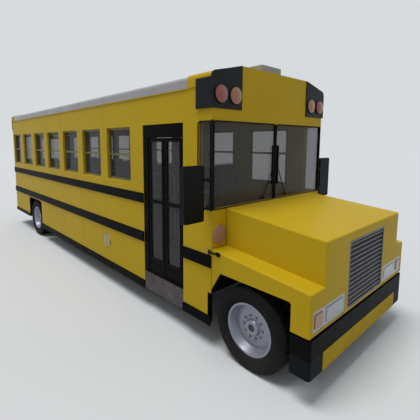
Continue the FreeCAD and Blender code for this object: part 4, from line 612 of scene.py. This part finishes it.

# The sash colour is painted shade: a dull olive, like the yellow reveals in shade.
sash_olive_shade = Finish("sash_olive_shade", linear(112, 106, 66), 0.4, tone=0.15, patch=3.0, grain=500.0,
                     relief=0.1, Metallic=0.35)
sash_olive_shade.coat("window_sashes")


def rounded_loop(width, height, radius, steps=5):
    """Corner-rounded rectangle about the origin as (across, up) points."""
    points = []
    for cx, cy, start in ((1, 1, 0), (-1, 1, 90), (-1, -1, 180), (1, -1, 270)):
        for k in range(steps + 1):
            angle = math.radians(start + 90.0 * k / steps)
            points.append((cx * (width / 2.0 - radius) + radius * math.cos(angle),
                           cy * (height / 2.0 - radius) + radius * math.sin(angle)))
    return points


def frame_round(centre, width, height, band, depth, out, radius):
    """A raised frame with a rounded lip round one opening, on a plane that faces out."""
    bm = bmesh.new()
    loop = rounded_loop(width + 2.0 * band, height + 2.0 * band, radius + band)
    face = bm.faces.new([bm.verts.new((a, b, 0.0)) for a, b in loop])
    face.normal_update()
    bmesh.ops.inset_region(bm, faces=[face], thickness=band, use_even_offset=True, use_boundary=True)
    bmesh.ops.delete(bm, geom=[face], context="FACES_ONLY")
    raised = bmesh.ops.extrude_face_region(bm, geom=bm.faces[:])
    bmesh.ops.translate(bm, verts=verts_of(raised), vec=(0, 0, depth))
    bmesh.ops.recalc_face_normals(bm, faces=bm.faces)
    lip = [edge for edge in bm.edges if all(vert.co.z > depth * 0.9 for vert in edge.verts)
           and any(face.normal.z < 0.5 for face in edge.link_faces)]
    softened(bm, lip, min(band * 0.35, depth * 0.7), segments=2)
    side = Vector((0, 0, 1)).cross(out)
    turn = Matrix((side, Vector(out).cross(side), out)).transposed().to_4x4()
    bmesh.ops.transform(bm, matrix=Matrix.Translation(centre) @ turn, verts=bm.verts)
    return bm


def gaskets(name, frames, finish, body="root"):
    """Several raised frames as one piece."""
    whole = bmesh.new()
    for one in frames:
        part = as_mesh("one_frame", one)
        whole.from_mesh(part)
        bpy.data.meshes.remove(part)
    fitted(finished(name, whole, finish), body)


gasket_rubber = Finish("gasket_rubber", linear(10, 10, 11), 0.65, relief=0.1,
                       Specular_IOR_Level=0.15)
SCREEN_MIDDLE = 2.2
SCREEN_TALL = 0.994
screens = []
for across in (-1, 1):
    screens.append(frame_round((COWL_X, across * 0.6015, SCREEN_MIDDLE), 1.169, SCREEN_TALL,
                               band=0.016, depth=0.008, out=(1, 0, 0), radius=0.03))
    screens.append(frame_round((COWL_X - 0.131, across * SIDE, SCREEN_MIDDLE), 0.194, SCREEN_TALL,
                               band=0.014, depth=0.006, out=(0, across, 0), radius=0.03))
gaskets("windscreen_gaskets", screens, gasket_rubber)

latch_zinc = Finish("latch_zinc", linear(96, 96, 98), 0.4, patch=9.0, Metallic=0.7)
SASH_MEETING = 2.276
LATCH_INSET = 0.075
LATCH = ((0.022, (1.139, 1.151), (-0.012, 0.01)),            # half length, out, up
         (0.006, (1.131, 1.14), (-0.009, 0.02)))
for side, across in SIDES:
    blocks = []
    for front in WINDOW_FRONTS:
        for x in (front - LATCH_INSET, front - WINDOW_WIDTH + LATCH_INSET):
            for half, out, up in LATCH:
                blocks.append(side_box(across, around(x, half), out, [SASH_MEETING + rise for rise in up]))
    flat_strips(f"sash_latches_{side}", blocks, latch_zinc, soften=0.002)


# Entrance: two glazed leaves that fold outward from the door's sides, closed on a
# soft rubber edge, over three steps of worn ribbed tread in a grey steel well.

step_grey = Finish("step_grey", linear(74, 64, 70), 0.6, tone=0.25, patch=6.0, splash=0.3, splash_height=1.0,
                   grain=350.0, relief=0.3, scuffed=0.7, bare=linear(128, 122, 120))
step_grey.coat("step_well")
TREADS = ((0.566, -1.216, -0.99), (0.813, -0.98, -0.77))     # height, outer and inner edge
TREAD_SPAN = (2.31, 3.13)
TREAD_BARS = 7
bars = []
for height, outer, inner in TREADS:
    for k in range(TREAD_BARS):
        low, high = around(outer + (k + 0.5) * (inner - outer) / TREAD_BARS, 0.006)
        bars.append(((TREAD_SPAN[0], low, height), (TREAD_SPAN[1], high, height + 0.003)))
flat_strips("step_ribs", bars, step_grey, soften=0.001)

LEAF_SPANS = {"rear": (COWL_X - 1.284, COWL_X - 0.9175), "front": (COWL_X - 0.9035, COWL_X - 0.537)}
LEAF_FACE = -1.206
LEAF_STILE = 0.052
LEAF_PANES = ((0.811, 1.62), (1.668, 2.473))
SOFT_EDGE = 0.0045
for leaf, (x0, x1) in LEAF_SPANS.items():
    seals = [frame_round(((x0 + x1) / 2.0, LEAF_FACE, (low + high) / 2.0), x1 - x0 - 2 * LEAF_STILE,
                         high - low, band=0.012, depth=0.004, out=(0, -1, 0), radius=0.016)
             for low, high in LEAF_PANES]
    gaskets(f"leaf_gaskets_{leaf}", seals, gasket_rubber, f"entry_leaf_{leaf}")
    back, ahead = (x1, x1 + SOFT_EDGE) if leaf == "rear" else (x0 - SOFT_EDGE, x0)
    strip = ((back, LEAF_FACE + 0.004, 0.6), (ahead, LEAF_FACE + 0.03, 2.51))
    flat_strips(f"leaf_soft_edge_{leaf}", [strip], gasket_rubber, f"entry_leaf_{leaf}",
                soften=0.0015)


def bent_rod(name, points, radius, finish, closed=False):
    """A round bar along a smooth path, as a mesh."""
    curve = bpy.data.curves.new(name + "_path", "CURVE")
    curve.dimensions = "3D"
    curve.bevel_depth = radius
    curve.bevel_resolution = 1
    curve.resolution_u = 6
    curve.use_fill_caps = not closed
    spline = curve.splines.new("NURBS")
    spline.points.add(len(points) - 1)
    for point, place in zip(spline.points, points):
        point.co = (*place, 1.0)
    spline.order_u = 3
    spline.use_endpoint_u = not closed
    spline.use_cyclic_u = closed
    holder = bpy.data.objects.new(name + "_path", curve)
    mesh = bpy.data.meshes.new_from_object(holder)
    bpy.data.objects.remove(holder)
    bpy.data.curves.remove(curve)
    mesh.name = name
    return piece_of(name, mesh, finish)


bright_steel = Finish("bright_steel", linear(176, 176, 178), 0.2, patch=20.0, Metallic=1.0)
RAIL_FOOT = (-0.66, 1.06)
WALL_PLATE = -1.142
for name, x, top in (("entry_rail_rear", 2.3, 2.0), ("entry_rail_front", 3.14, 1.8)):
    y, foot = RAIL_FOOT
    path = [(x, y, foot), (x, y, 1.4), (x, y, top - 0.08), (x, y - 0.06, top), (x, -0.9, top),
            (x, WALL_PLATE, top)]
    fitted(bent_rod(name, path, 0.014, bright_steel))


# Emergency door, tail lamps and stop arm. The rear door is a pressed steel leaf on two
# strap hinges with a lever handle; the stop arm is a blank red plate with a white edge.

sign_red = Finish("sign_red", linear(168, 30, 30), 0.35, grain=300.0, relief=0.05,
                  Coat_Weight=0.3)
sign_red.coat("stop_sign")
flap_cream = Finish("flap_cream", linear(168, 168, 132), 0.4, splash=0.2, Coat_Weight=0.2)
flap_cream.coat("filler_flap")

REARWARD = (-1, 0, 0)
door_seals = [frame_round((REAR_X, 0.0, middle), 0.82, tall, band=0.02, depth=0.006, out=REARWARD,
                          radius=0.04)
              for middle, tall in ((1.445, 0.39), (2.24, 0.68))]
gaskets("rear_door_gaskets", door_seals, gasket_rubber, "emergency_door")
wall_seals = [frame_round((REAR_X, across * 0.84, 2.253), 0.436, 0.77, band=0.018, depth=0.006,
                          out=REARWARD, radius=0.02)
              for across in (-1, 1)]
gaskets("rear_pane_gaskets", wall_seals, gasket_rubber)

TAIL_RADIUS = 0.062
TAIL_THICK = 0.012
TAIL_LAMPS = ((1.02, 1.36), (1.02, 1.2), (0.86, 1.28))
tail_spots = [(side * across, height) for side in (-1, 1) for across, height in TAIL_LAMPS]
tail_lens = Lens("tail_lens", linear(150, 36, 32), 14.0)
# The lower outboard lamp is the indicator, and the inboard one is for reversing.
tail_lens.recolour(linear(200, 130, 70), across=(0.94, None), z=(None, 1.28))
tail_lens.recolour(linear(206, 206, 204), across=(None, 0.94))
dome = bmesh.new()
bmesh.ops.create_cone(dome, cap_ends=True, segments=32, radius1=TAIL_RADIUS, radius2=TAIL_RADIUS * 0.82,
                      depth=TAIL_THICK)
crown = [face for face in dome.faces if face.normal.z > 0.9]
bmesh.ops.inset_region(dome, faces=crown, thickness=TAIL_RADIUS * 0.4, depth=0.004)
places = [facing((REAR_X - TAIL_THICK / 2.0, across, height), REARWARD) for across, height in tail_spots]
fitted(finished("tail_lamps", copies(dome, places), tail_lens))
lamp_rims("tail_lamp_rims", gasket_rubber, REAR_X, -1, tail_spots,
          radius=TAIL_RADIUS, width=0.008, depth=0.014)

SIGN_CENTRE = Vector((2.1765, 1.256, 1.372))
SIGN_ACROSS = 0.45
SIGN_FACE = 0.0088       # either face of the plate, out from its middle
sign_white = Finish("sign_white", linear(214, 214, 210), 0.4, tone=0.08)
border = bmesh.new()
eighth = math.pi / 8.0
corner_out = (SIGN_ACROSS / 2.0 - 0.006) / math.cos(eighth)
bmesh.ops.create_circle(border, cap_ends=True, segments=8, radius=corner_out)
middle = border.faces[:]
bmesh.ops.inset_region(border, faces=middle, thickness=0.018, use_even_offset=True, use_boundary=True)
bmesh.ops.delete(border, geom=middle, context="FACES_ONLY")
raised = bmesh.ops.extrude_face_region(border, geom=border.faces[:])
bmesh.ops.translate(border, vec=(0, 0, 0.0008), verts=verts_of(raised))
places = [facing(SIGN_CENTRE + Vector((0, out * SIGN_FACE, 0)), (0, out, 0), eighth) for out in (-1, 1)]
fitted(finished("stop_sign_border", copies(border, places), sign_white, smooth=False), "stop_arm")


# Nose: one tilting bonnet of moulded panels in the same yellow, held shut at each side
# by a rubber strap, with a louvred grille and rectangular lamp panels let into its front.

grille_grey = Finish("grille_grey", linear(88, 88, 91), 0.4, tone=0.15, patch=8.0, splash=0.15, grain=400.0,
                     relief=0.2, Metallic=0.3)
grille_grey.coat("grille")

lamp_panel = Lens("lamp_panel", linear(166, 171, 176), 9.0, Metallic=0.15)
lamp_panel.recolour(linear(176, 112, 74), x=(4.9, None), across=(0.998, 1.139), z=(0.771, 0.907))
lamp_panel.coat("headlamps")
PLATE_FACE = 4.9175
LAMP_Z = 0.839
lamp_trim = Finish("lamp_trim", linear(118, 120, 122), 0.3, patch=12.0, splash=0.2, Metallic=0.8)
trims = [frame_round((PLATE_FACE, side * across, LAMP_Z), width, 0.132, band, depth=0.0035,
                     out=(1, 0, 0), radius=0.012)
         for side in (-1, 1) for across, width, band in ((0.7493, 0.34, 0.007), (1.0687, 0.138, 0.005))]
gaskets("headlamp_trims", trims, lamp_trim, "nose")

STRAP_Z = 1.197
STRAP = (((3.745, 3.815), (0.0, 0.006), 0.026), ((3.655, 3.79), (0.006, 0.015), 0.011),
         ((3.632, 3.656), (0.006, 0.017), 0.03))             # along, out from the side, half height
CATCH = (((3.6, 3.63), (0.0, 0.004), 0.022), ((3.612, 3.63), (0.004, 0.016), 0.012))
for side, across in SIDES:
    for name, blocks, finish, slot, body, soften in (
            ("hood_strap", STRAP, gasket_rubber, "black_plastic", "nose", 0.003),
            ("hood_catch", CATCH, plated_steel, "seat_steel", "root", 0.0015)):
        boxes = [side_box(across, along, [SIDE + reach for reach in out], around(STRAP_Z, half))
                 for along, out, half in blocks]
        flat_strips(f"{name}_{side}", boxes, finish, body, soften)


# Bumpers: the front one is a wide channel of black steel with a yellow lower
# face between its dark ends, the rear one a plain black channel.

BUMPER_STEP = (0.9675, 0.4795)       # half width and top of the lower face
bumper_black = Finish("bumper_black", linear(6, 6, 7), 0.45, tone=0.12, patch=3.0, splash=0.4,
                      splash_height=0.9, grain=300.0, relief=0.12, dust=linear(46, 43, 39), scuffed=0.4,
                      bare=linear(66, 66, 66), Specular_IOR_Level=0.05)
bumper_black.recolour(linear(20, 28, 32), across=(BUMPER_STEP[0], None), z=(None, BUMPER_STEP[1]))
bumper_black.recolour(YELLOW, across=(None, BUMPER_STEP[0]), z=(None, BUMPER_STEP[1]), x=(4.9, None))
bumper_black.coat("bumper_front")
BUMPER_FACE = 4.9275
bolts = [facing((BUMPER_FACE, across, 0.62), (1, 0, 0)) for across in (-0.72, -0.42, 0.42, 0.72)]
small_parts("bumper_bolts", rivet(0.015, 0.0035), bolts, bumper_black)


# Mirrors and wipers: tall flat mirrors in black plastic shells on two short arms at
# each corner post, and two pivoted wipers with rubber blades parked upright.

black_plastic = Finish("black_plastic", linear(6, 6, 7), 0.5, grain=900.0, relief=0.3,
                       Specular_IOR_Level=0.14)
black_plastic.coat("mirrors", "wipers")
mirror_silver = Finish("mirror_silver", linear(196, 200, 204), 0.05, tone=0.03, relief=0.0, Metallic=1.0)
panes = [side_box(across, (3.5902, 3.5914), (1.338, 1.592), (1.597, 2.188)) for across in (-1, 1)]
flat_strips("mirror_glass", panes, mirror_silver, soften=0.0)
blades = [side_box(across, (COWL_X - 0.0215, COWL_X - 0.0172), (0.053, 0.059), (1.902, 2.423))
          for across in (-1, 1)]
flat_strips("wiper_rubbers", blades, gasket_rubber)


# Cabin: ribbed rubber floor, a moulded dashboard with the steering wheel and its dials,
# two rubber pedals, and powder coated steel frames under every seat.

floor_rubber = Finish("floor_rubber", linear(62, 62, 62), 0.7, tone=0.3, patch=3.0, splash=0.3,
                      splash_height=2.5, grain=250.0, relief=0.4)
floor_rubber.coat("floor")
dash_plastic = Finish("dash_plastic", linear(128, 142, 164), 0.55, grain=700.0, relief=0.4)
dash_plastic.coat("dashboard")
frame_steel = Finish("seat_frame_steel", linear(62, 62, 66), 0.45, tone=0.15, grain=300.0, relief=0.15)
frame_steel.coat("seat_frames")
FLOOR_TOP = 1.06
ribs = [((REAR_X + 0.12, low, FLOOR_TOP), (COWL_X - 0.75, high, FLOOR_TOP + 0.0035))
        for low, high in (around((k - 6.5) * 0.021, 0.005) for k in range(14))]
flat_strips("aisle_mat_ribs", ribs, floor_rubber, soften=0.0012)

DASH_FACE = COWL_X - 0.43
DIAL_RADIUS = 0.045
DIALS = [(across, 1.5) for across in (0.47, 0.57, 0.67, 0.77)]
lamp_rims("dial_rims", bright_steel, DASH_FACE, -1, DIALS,
          radius=DIAL_RADIUS, width=0.005, depth=0.008)
dial_face = Finish("dial_face", linear(14, 14, 15), 0.3, tone=0.05)
pointer_white = Finish("pointer_white", linear(220, 220, 216), 0.4, tone=0.05)


def on_dial(dial, proud, turn, share):
    """A place on a dial's face, at a turn from upright and a share of its radius out."""
    reach = DIAL_RADIUS * share
    spot = (DASH_FACE - proud, dial[0] + math.sin(turn) * reach, dial[1] + math.cos(turn) * reach)
    return Matrix.Translation(spot) @ Matrix.Rotation(-turn, 4, "X")


faces, pointers = bmesh.new(), []
for k, dial in enumerate(DIALS):
    made = bmesh.ops.create_circle(faces, cap_ends=True, segments=32, radius=DIAL_RADIUS)
    bmesh.ops.transform(faces, matrix=facing((DASH_FACE - 0.003, *dial), REARWARD), verts=made["verts"])
    pointers += [on_dial(dial, 0.0035, math.radians(30.0 * mark), 0.86) for mark in range(-4, 5)]
    pointers.append(on_dial(dial, 0.004, math.radians(-35.0 + 22.0 * k), 0.34)
                    @ Matrix.Scale(5.0, 4, (0, 0, 1)))
fitted(finished("dial_faces", faces, dial_face, smooth=False))
tick = bmesh.new()
bmesh.ops.create_cube(tick, size=1.0, matrix=Matrix.Diagonal((0.001, 0.0016, 0.007, 1.0)))
small_parts("dial_marks", tick, pointers, pointer_white, smooth=False)
pads = [((COWL_X - 0.345, across - half, 1.1), (COWL_X - 0.333, across + half, 1.17))
        for across, half in ((0.5, 0.03), (0.66, 0.045))]
flat_strips("pedals", pads, gasket_rubber, soften=0.004)


# Seats: a cushion and a tall leaning back on every bench, and the same on the driver's
# pedestal. Each is a foam pad under green vinyl, cut in panels, sewn with a piped edge
# and drawn tight over the foam, which swells it between its corners.

BENCH_FRONTS = [COWL_X - 2.05 - 0.88 * k for k in range(7)]
BENCH_MIDDLE = 0.6475
BENCH_LEN = 0.4
BENCH_WIDTH = 0.975
PAN_TOP = 1.3906
PAD_THICK = 0.1
LEAN = 0.07
DRIVER_FRONT = COWL_X - 0.95
DRIVER_MIDDLE = 0.62
DRIVER_LEN = 0.46
DRIVER_WIDTH = 0.48
DRIVER_PAN_TOP = 1.3806
SLACK = 0.009
ROUNDING = 0.022
PIPE = 0.0042
SWELL_MOST = 0.012
FRAMES = 20
PAD_SIZES = {"bench_cushion": (BENCH_LEN, BENCH_WIDTH, PAD_THICK),
             "bench_back": (PAD_THICK, BENCH_WIDTH, 2.0 - PAN_TOP),
             "driver_cushion": (DRIVER_LEN, DRIVER_WIDTH, PAD_THICK),
             "driver_back": (PAD_THICK, DRIVER_WIDTH, 2.08 - DRIVER_PAN_TOP)}

vinyl = Finish("green_vinyl", linear(56, 84, 66), 0.46, tone=0.22, patch=4.0, grain=520.0, relief=0.45,
               depth=0.0006, Specular_IOR_Level=0.4)
creases = vinyl.noise(vinyl.place(), 9.0, Detail=4.0, Distortion=1.2)
creased = vinyl.add("Bump", {"Strength": 0.35, "Distance": 0.006, "Height": creases, "Normal": vinyl.relief})
vinyl.feed(vinyl.shader, {"Normal": creased.outputs["Normal"]})
piping_vinyl = Finish("piping_vinyl", linear(34, 52, 41), 0.5, tone=0.15, patch=6.0, grain=520.0,
                      relief=0.3)


def foam_block(name, size):
    """A rounded block a little smaller than its cover, in even faces."""
    bm = bmesh.new()
    core = [length - 2.0 * SLACK for length in size]
    bmesh.ops.create_cube(bm, size=1.0, matrix=Matrix.Diagonal(core + [1.0]))
    softened(bm, bm.edges[:], ROUNDING, segments=3)
    block = finished(name, bm, vinyl)
    even = block.modifiers.new("even_faces", "REMESH")
    even.mode = "VOXEL"
    even.voxel_size = 0.014
    even.use_smooth_shade = True
    mesh = bpy.data.meshes.new_from_object(block.evaluated_get(bpy.context.evaluated_depsgraph_get()))
    block.modifiers.clear()
    block.data = mesh
    return block


def swell(blocks):
    """Pressed cloth over every block at once, its travel capped and kept off the neighbours."""
    scene = bpy.context.scene
    for block in blocks.values():
        cover = block.modifiers.new("cover", "CLOTH")
        cover.settings.quality = 5
        cover.settings.use_pressure = True
        cover.settings.uniform_pressure_force = 4.0
        cover.settings.effector_weights.gravity = 0.0
        cover.settings.tension_stiffness = 20.0
        cover.settings.compression_stiffness = 20.0
        cover.settings.bending_stiffness = 1.0
        cover.point_cache.frame_start = 1
        cover.point_cache.frame_end = FRAMES
    for number in range(1, FRAMES + 1):
        scene.frame_set(number)
    graph = bpy.context.evaluated_depsgraph_get()
    for name, block in blocks.items():
        swollen = block.evaluated_get(graph).to_mesh()
        places = [vert.co.copy() for vert in swollen.vertices]
        block.evaluated_get(graph).to_mesh_clear()
        block.modifiers.clear()
        limit = [length / 2.0 - 0.0008 for length in PAD_SIZES[name]]
        for vert, end in zip(block.data.vertices, places):
            step = end - vert.co
            if step.length > SWELL_MOST:
                step = step.normalized() * SWELL_MOST
            vert.co = [max(-reach, min(reach, value)) for value, reach in zip(vert.co + step, limit)]
    scene.frame_set(1)


def piped(block, size):
    """Sews a piping along the two wide faces of a pad."""
    thin = size.index(min(size))
    wide = [axis for axis in range(3) if axis != thin]
    edge = [size[axis] - 2.0 * SLACK + 0.004 for axis in wide]
    whole = bmesh.new()
    whole.from_mesh(block.data)
    for end in (-1, 1):
        loop = []
        for spot in rounded_loop(*edge, 0.03, 4):
            point = [end * (size[thin] / 2.0 - ROUNDING)] * 3
            point[wide[0]], point[wide[1]] = spot
            loop.append(point)
        welt = bent_rod("welt", loop, PIPE, piping_vinyl, closed=True)
        start = len(whole.faces)
        whole.from_mesh(welt.data)
        whole.faces.ensure_lookup_table()
        for face in whole.faces[start:]:
            face.material_index = 1
        bpy.data.meshes.remove(welt.data)
    whole.to_mesh(block.data)
    whole.free()
    block.data.materials.append(piping_vinyl.material)


patterns = {name: foam_block(name, size) for name, size in PAD_SIZES.items()}
swell(patterns)
for name, size in PAD_SIZES.items():
    piped(patterns[name], size)


def seat(kind, label, front, across, pan_top):
    """A cushion on its pan and a back that leans away behind it, copied from their patterns."""
    length = PAD_SIZES[f"{kind}_cushion"][0]
    tall = PAD_SIZES[f"{kind}_back"][2]
    slope = Matrix.Identity(4)
    slope[0][2] = -LEAN / tall
    on_pan = Matrix.Translation((front - length / 2.0, across, pan_top + PAD_THICK / 2.0))
    behind = Matrix.Translation((front - length - PAD_THICK / 2.0 - LEAN / 2.0, across, pan_top + tall / 2.0))
    for part, name, place in (("cushion", "cushion", on_pan), ("back", "seat_back", behind @ slope)):
        mesh = patterns[f"{kind}_{part}"].data.copy()
        mesh.name = f"{name}_{label}"
        mesh.transform(place)
        pad = in_scene(f"{name}_{label}", mesh)
        fitted(pad, replaces="seats")


for row, front in enumerate(BENCH_FRONTS):
    for side, across in SIDES:
        seat("bench", f"{side}_{row + 1}", front, across * BENCH_MIDDLE, PAN_TOP)
seat("driver", "driver", DRIVER_FRONT, DRIVER_MIDDLE, DRIVER_PAN_TOP)
for pattern in patterns.values():
    bpy.data.objects.remove(pattern)


# Floor, lights and camera: a wide matt floor under one broad lamp and an even sky, with
# the camera at the photograph's viewing angle.

def seen_directly(tree):
    """1 for what the camera sees, or sees in gloss or through glass, and 0 for the light on the object."""
    rays = tree.add("LightPath").outputs
    total = rays["Is Camera Ray"]
    for ray in ("Is Glossy Ray", "Is Transmission Ray"):
        total = tree.worked("ADD", total, rays[ray], clamp=True)
    return total


BACKDROP = linear(215, 219, 222)
studio = bpy.data.materials.new("studio_floor")
studio.use_nodes = True
studio_tree = ShaderTree(studio.node_tree)
FLOOR_LIT = (0.43, 0.43, 0.43, 1.0)
FLOOR_SEEN = (0.73, 0.745, 0.755, 1.0)
floor_colour = studio_tree.mixed(seen_directly(studio_tree), FLOOR_LIT, FLOOR_SEEN)
studio_tree.feed(studio_tree.nodes["Principled BSDF"],
                 {"Base Color": floor_colour, "Roughness": 0.9, "Specular IOR Level": 0.1})
ground = bmesh.new()
bmesh.ops.create_grid(ground, x_segments=1, y_segments=1, size=90.0)
ground_mesh = as_mesh("studio_ground", ground)
ground_mesh.materials.append(studio)
in_scene("studio_ground", ground_mesh)

world = bpy.data.worlds.new("studio_light")
bpy.context.scene.world = world
world.use_nodes = True
sky_tree = ShaderTree(world.node_tree)
sky = sky_tree.nodes["Background"]
sky_tree.feed(sky, {"Color": (0.93, 0.96, 1.0, 1.0), "Strength": 0.42})
backdrop = sky_tree.add("Background", {"Color": BACKDROP})
either = sky_tree.add("MixShader", {0: seen_directly(sky_tree), 1: sky.outputs[0], 2: backdrop.outputs[0]})
sky_tree.feed(sky_tree.nodes["World Output"], {"Surface": either.outputs[0]})

key = bpy.data.lights.new("key", "SUN")
key.energy = 1.8
key.angle = math.radians(25.0)
in_scene("key", key).rotation_euler = Vector((0.08, 0.256, -0.963)).to_track_quat("-Z", "Y").to_euler()

CAMERA_AT = (6.2842, -3.8391, 2.46)
CAMERA_YAW = math.radians(138.587)
CAMERA_PITCH = math.radians(-6.786)
FOCAL_PIXELS = 329.0
PICTURE = 420.0
CENTRE_ROW = 182.0
CENTRE_COLUMN = 191.0
camera = bpy.data.cameras.new("camera")
camera.sensor_width = 36.0
camera.lens = FOCAL_PIXELS / PICTURE * camera.sensor_width
camera.shift_y = -(PICTURE / 2.0 - CENTRE_ROW) / PICTURE
camera.shift_x = (PICTURE / 2.0 - CENTRE_COLUMN) / PICTURE
camera.clip_end = 400.0
holder = in_scene("camera", camera)
holder.location = CAMERA_AT
holder.rotation_euler = (math.pi / 2.0 + CAMERA_PITCH, 0.0, CAMERA_YAW - math.pi / 2.0)
bpy.context.scene.camera = holder
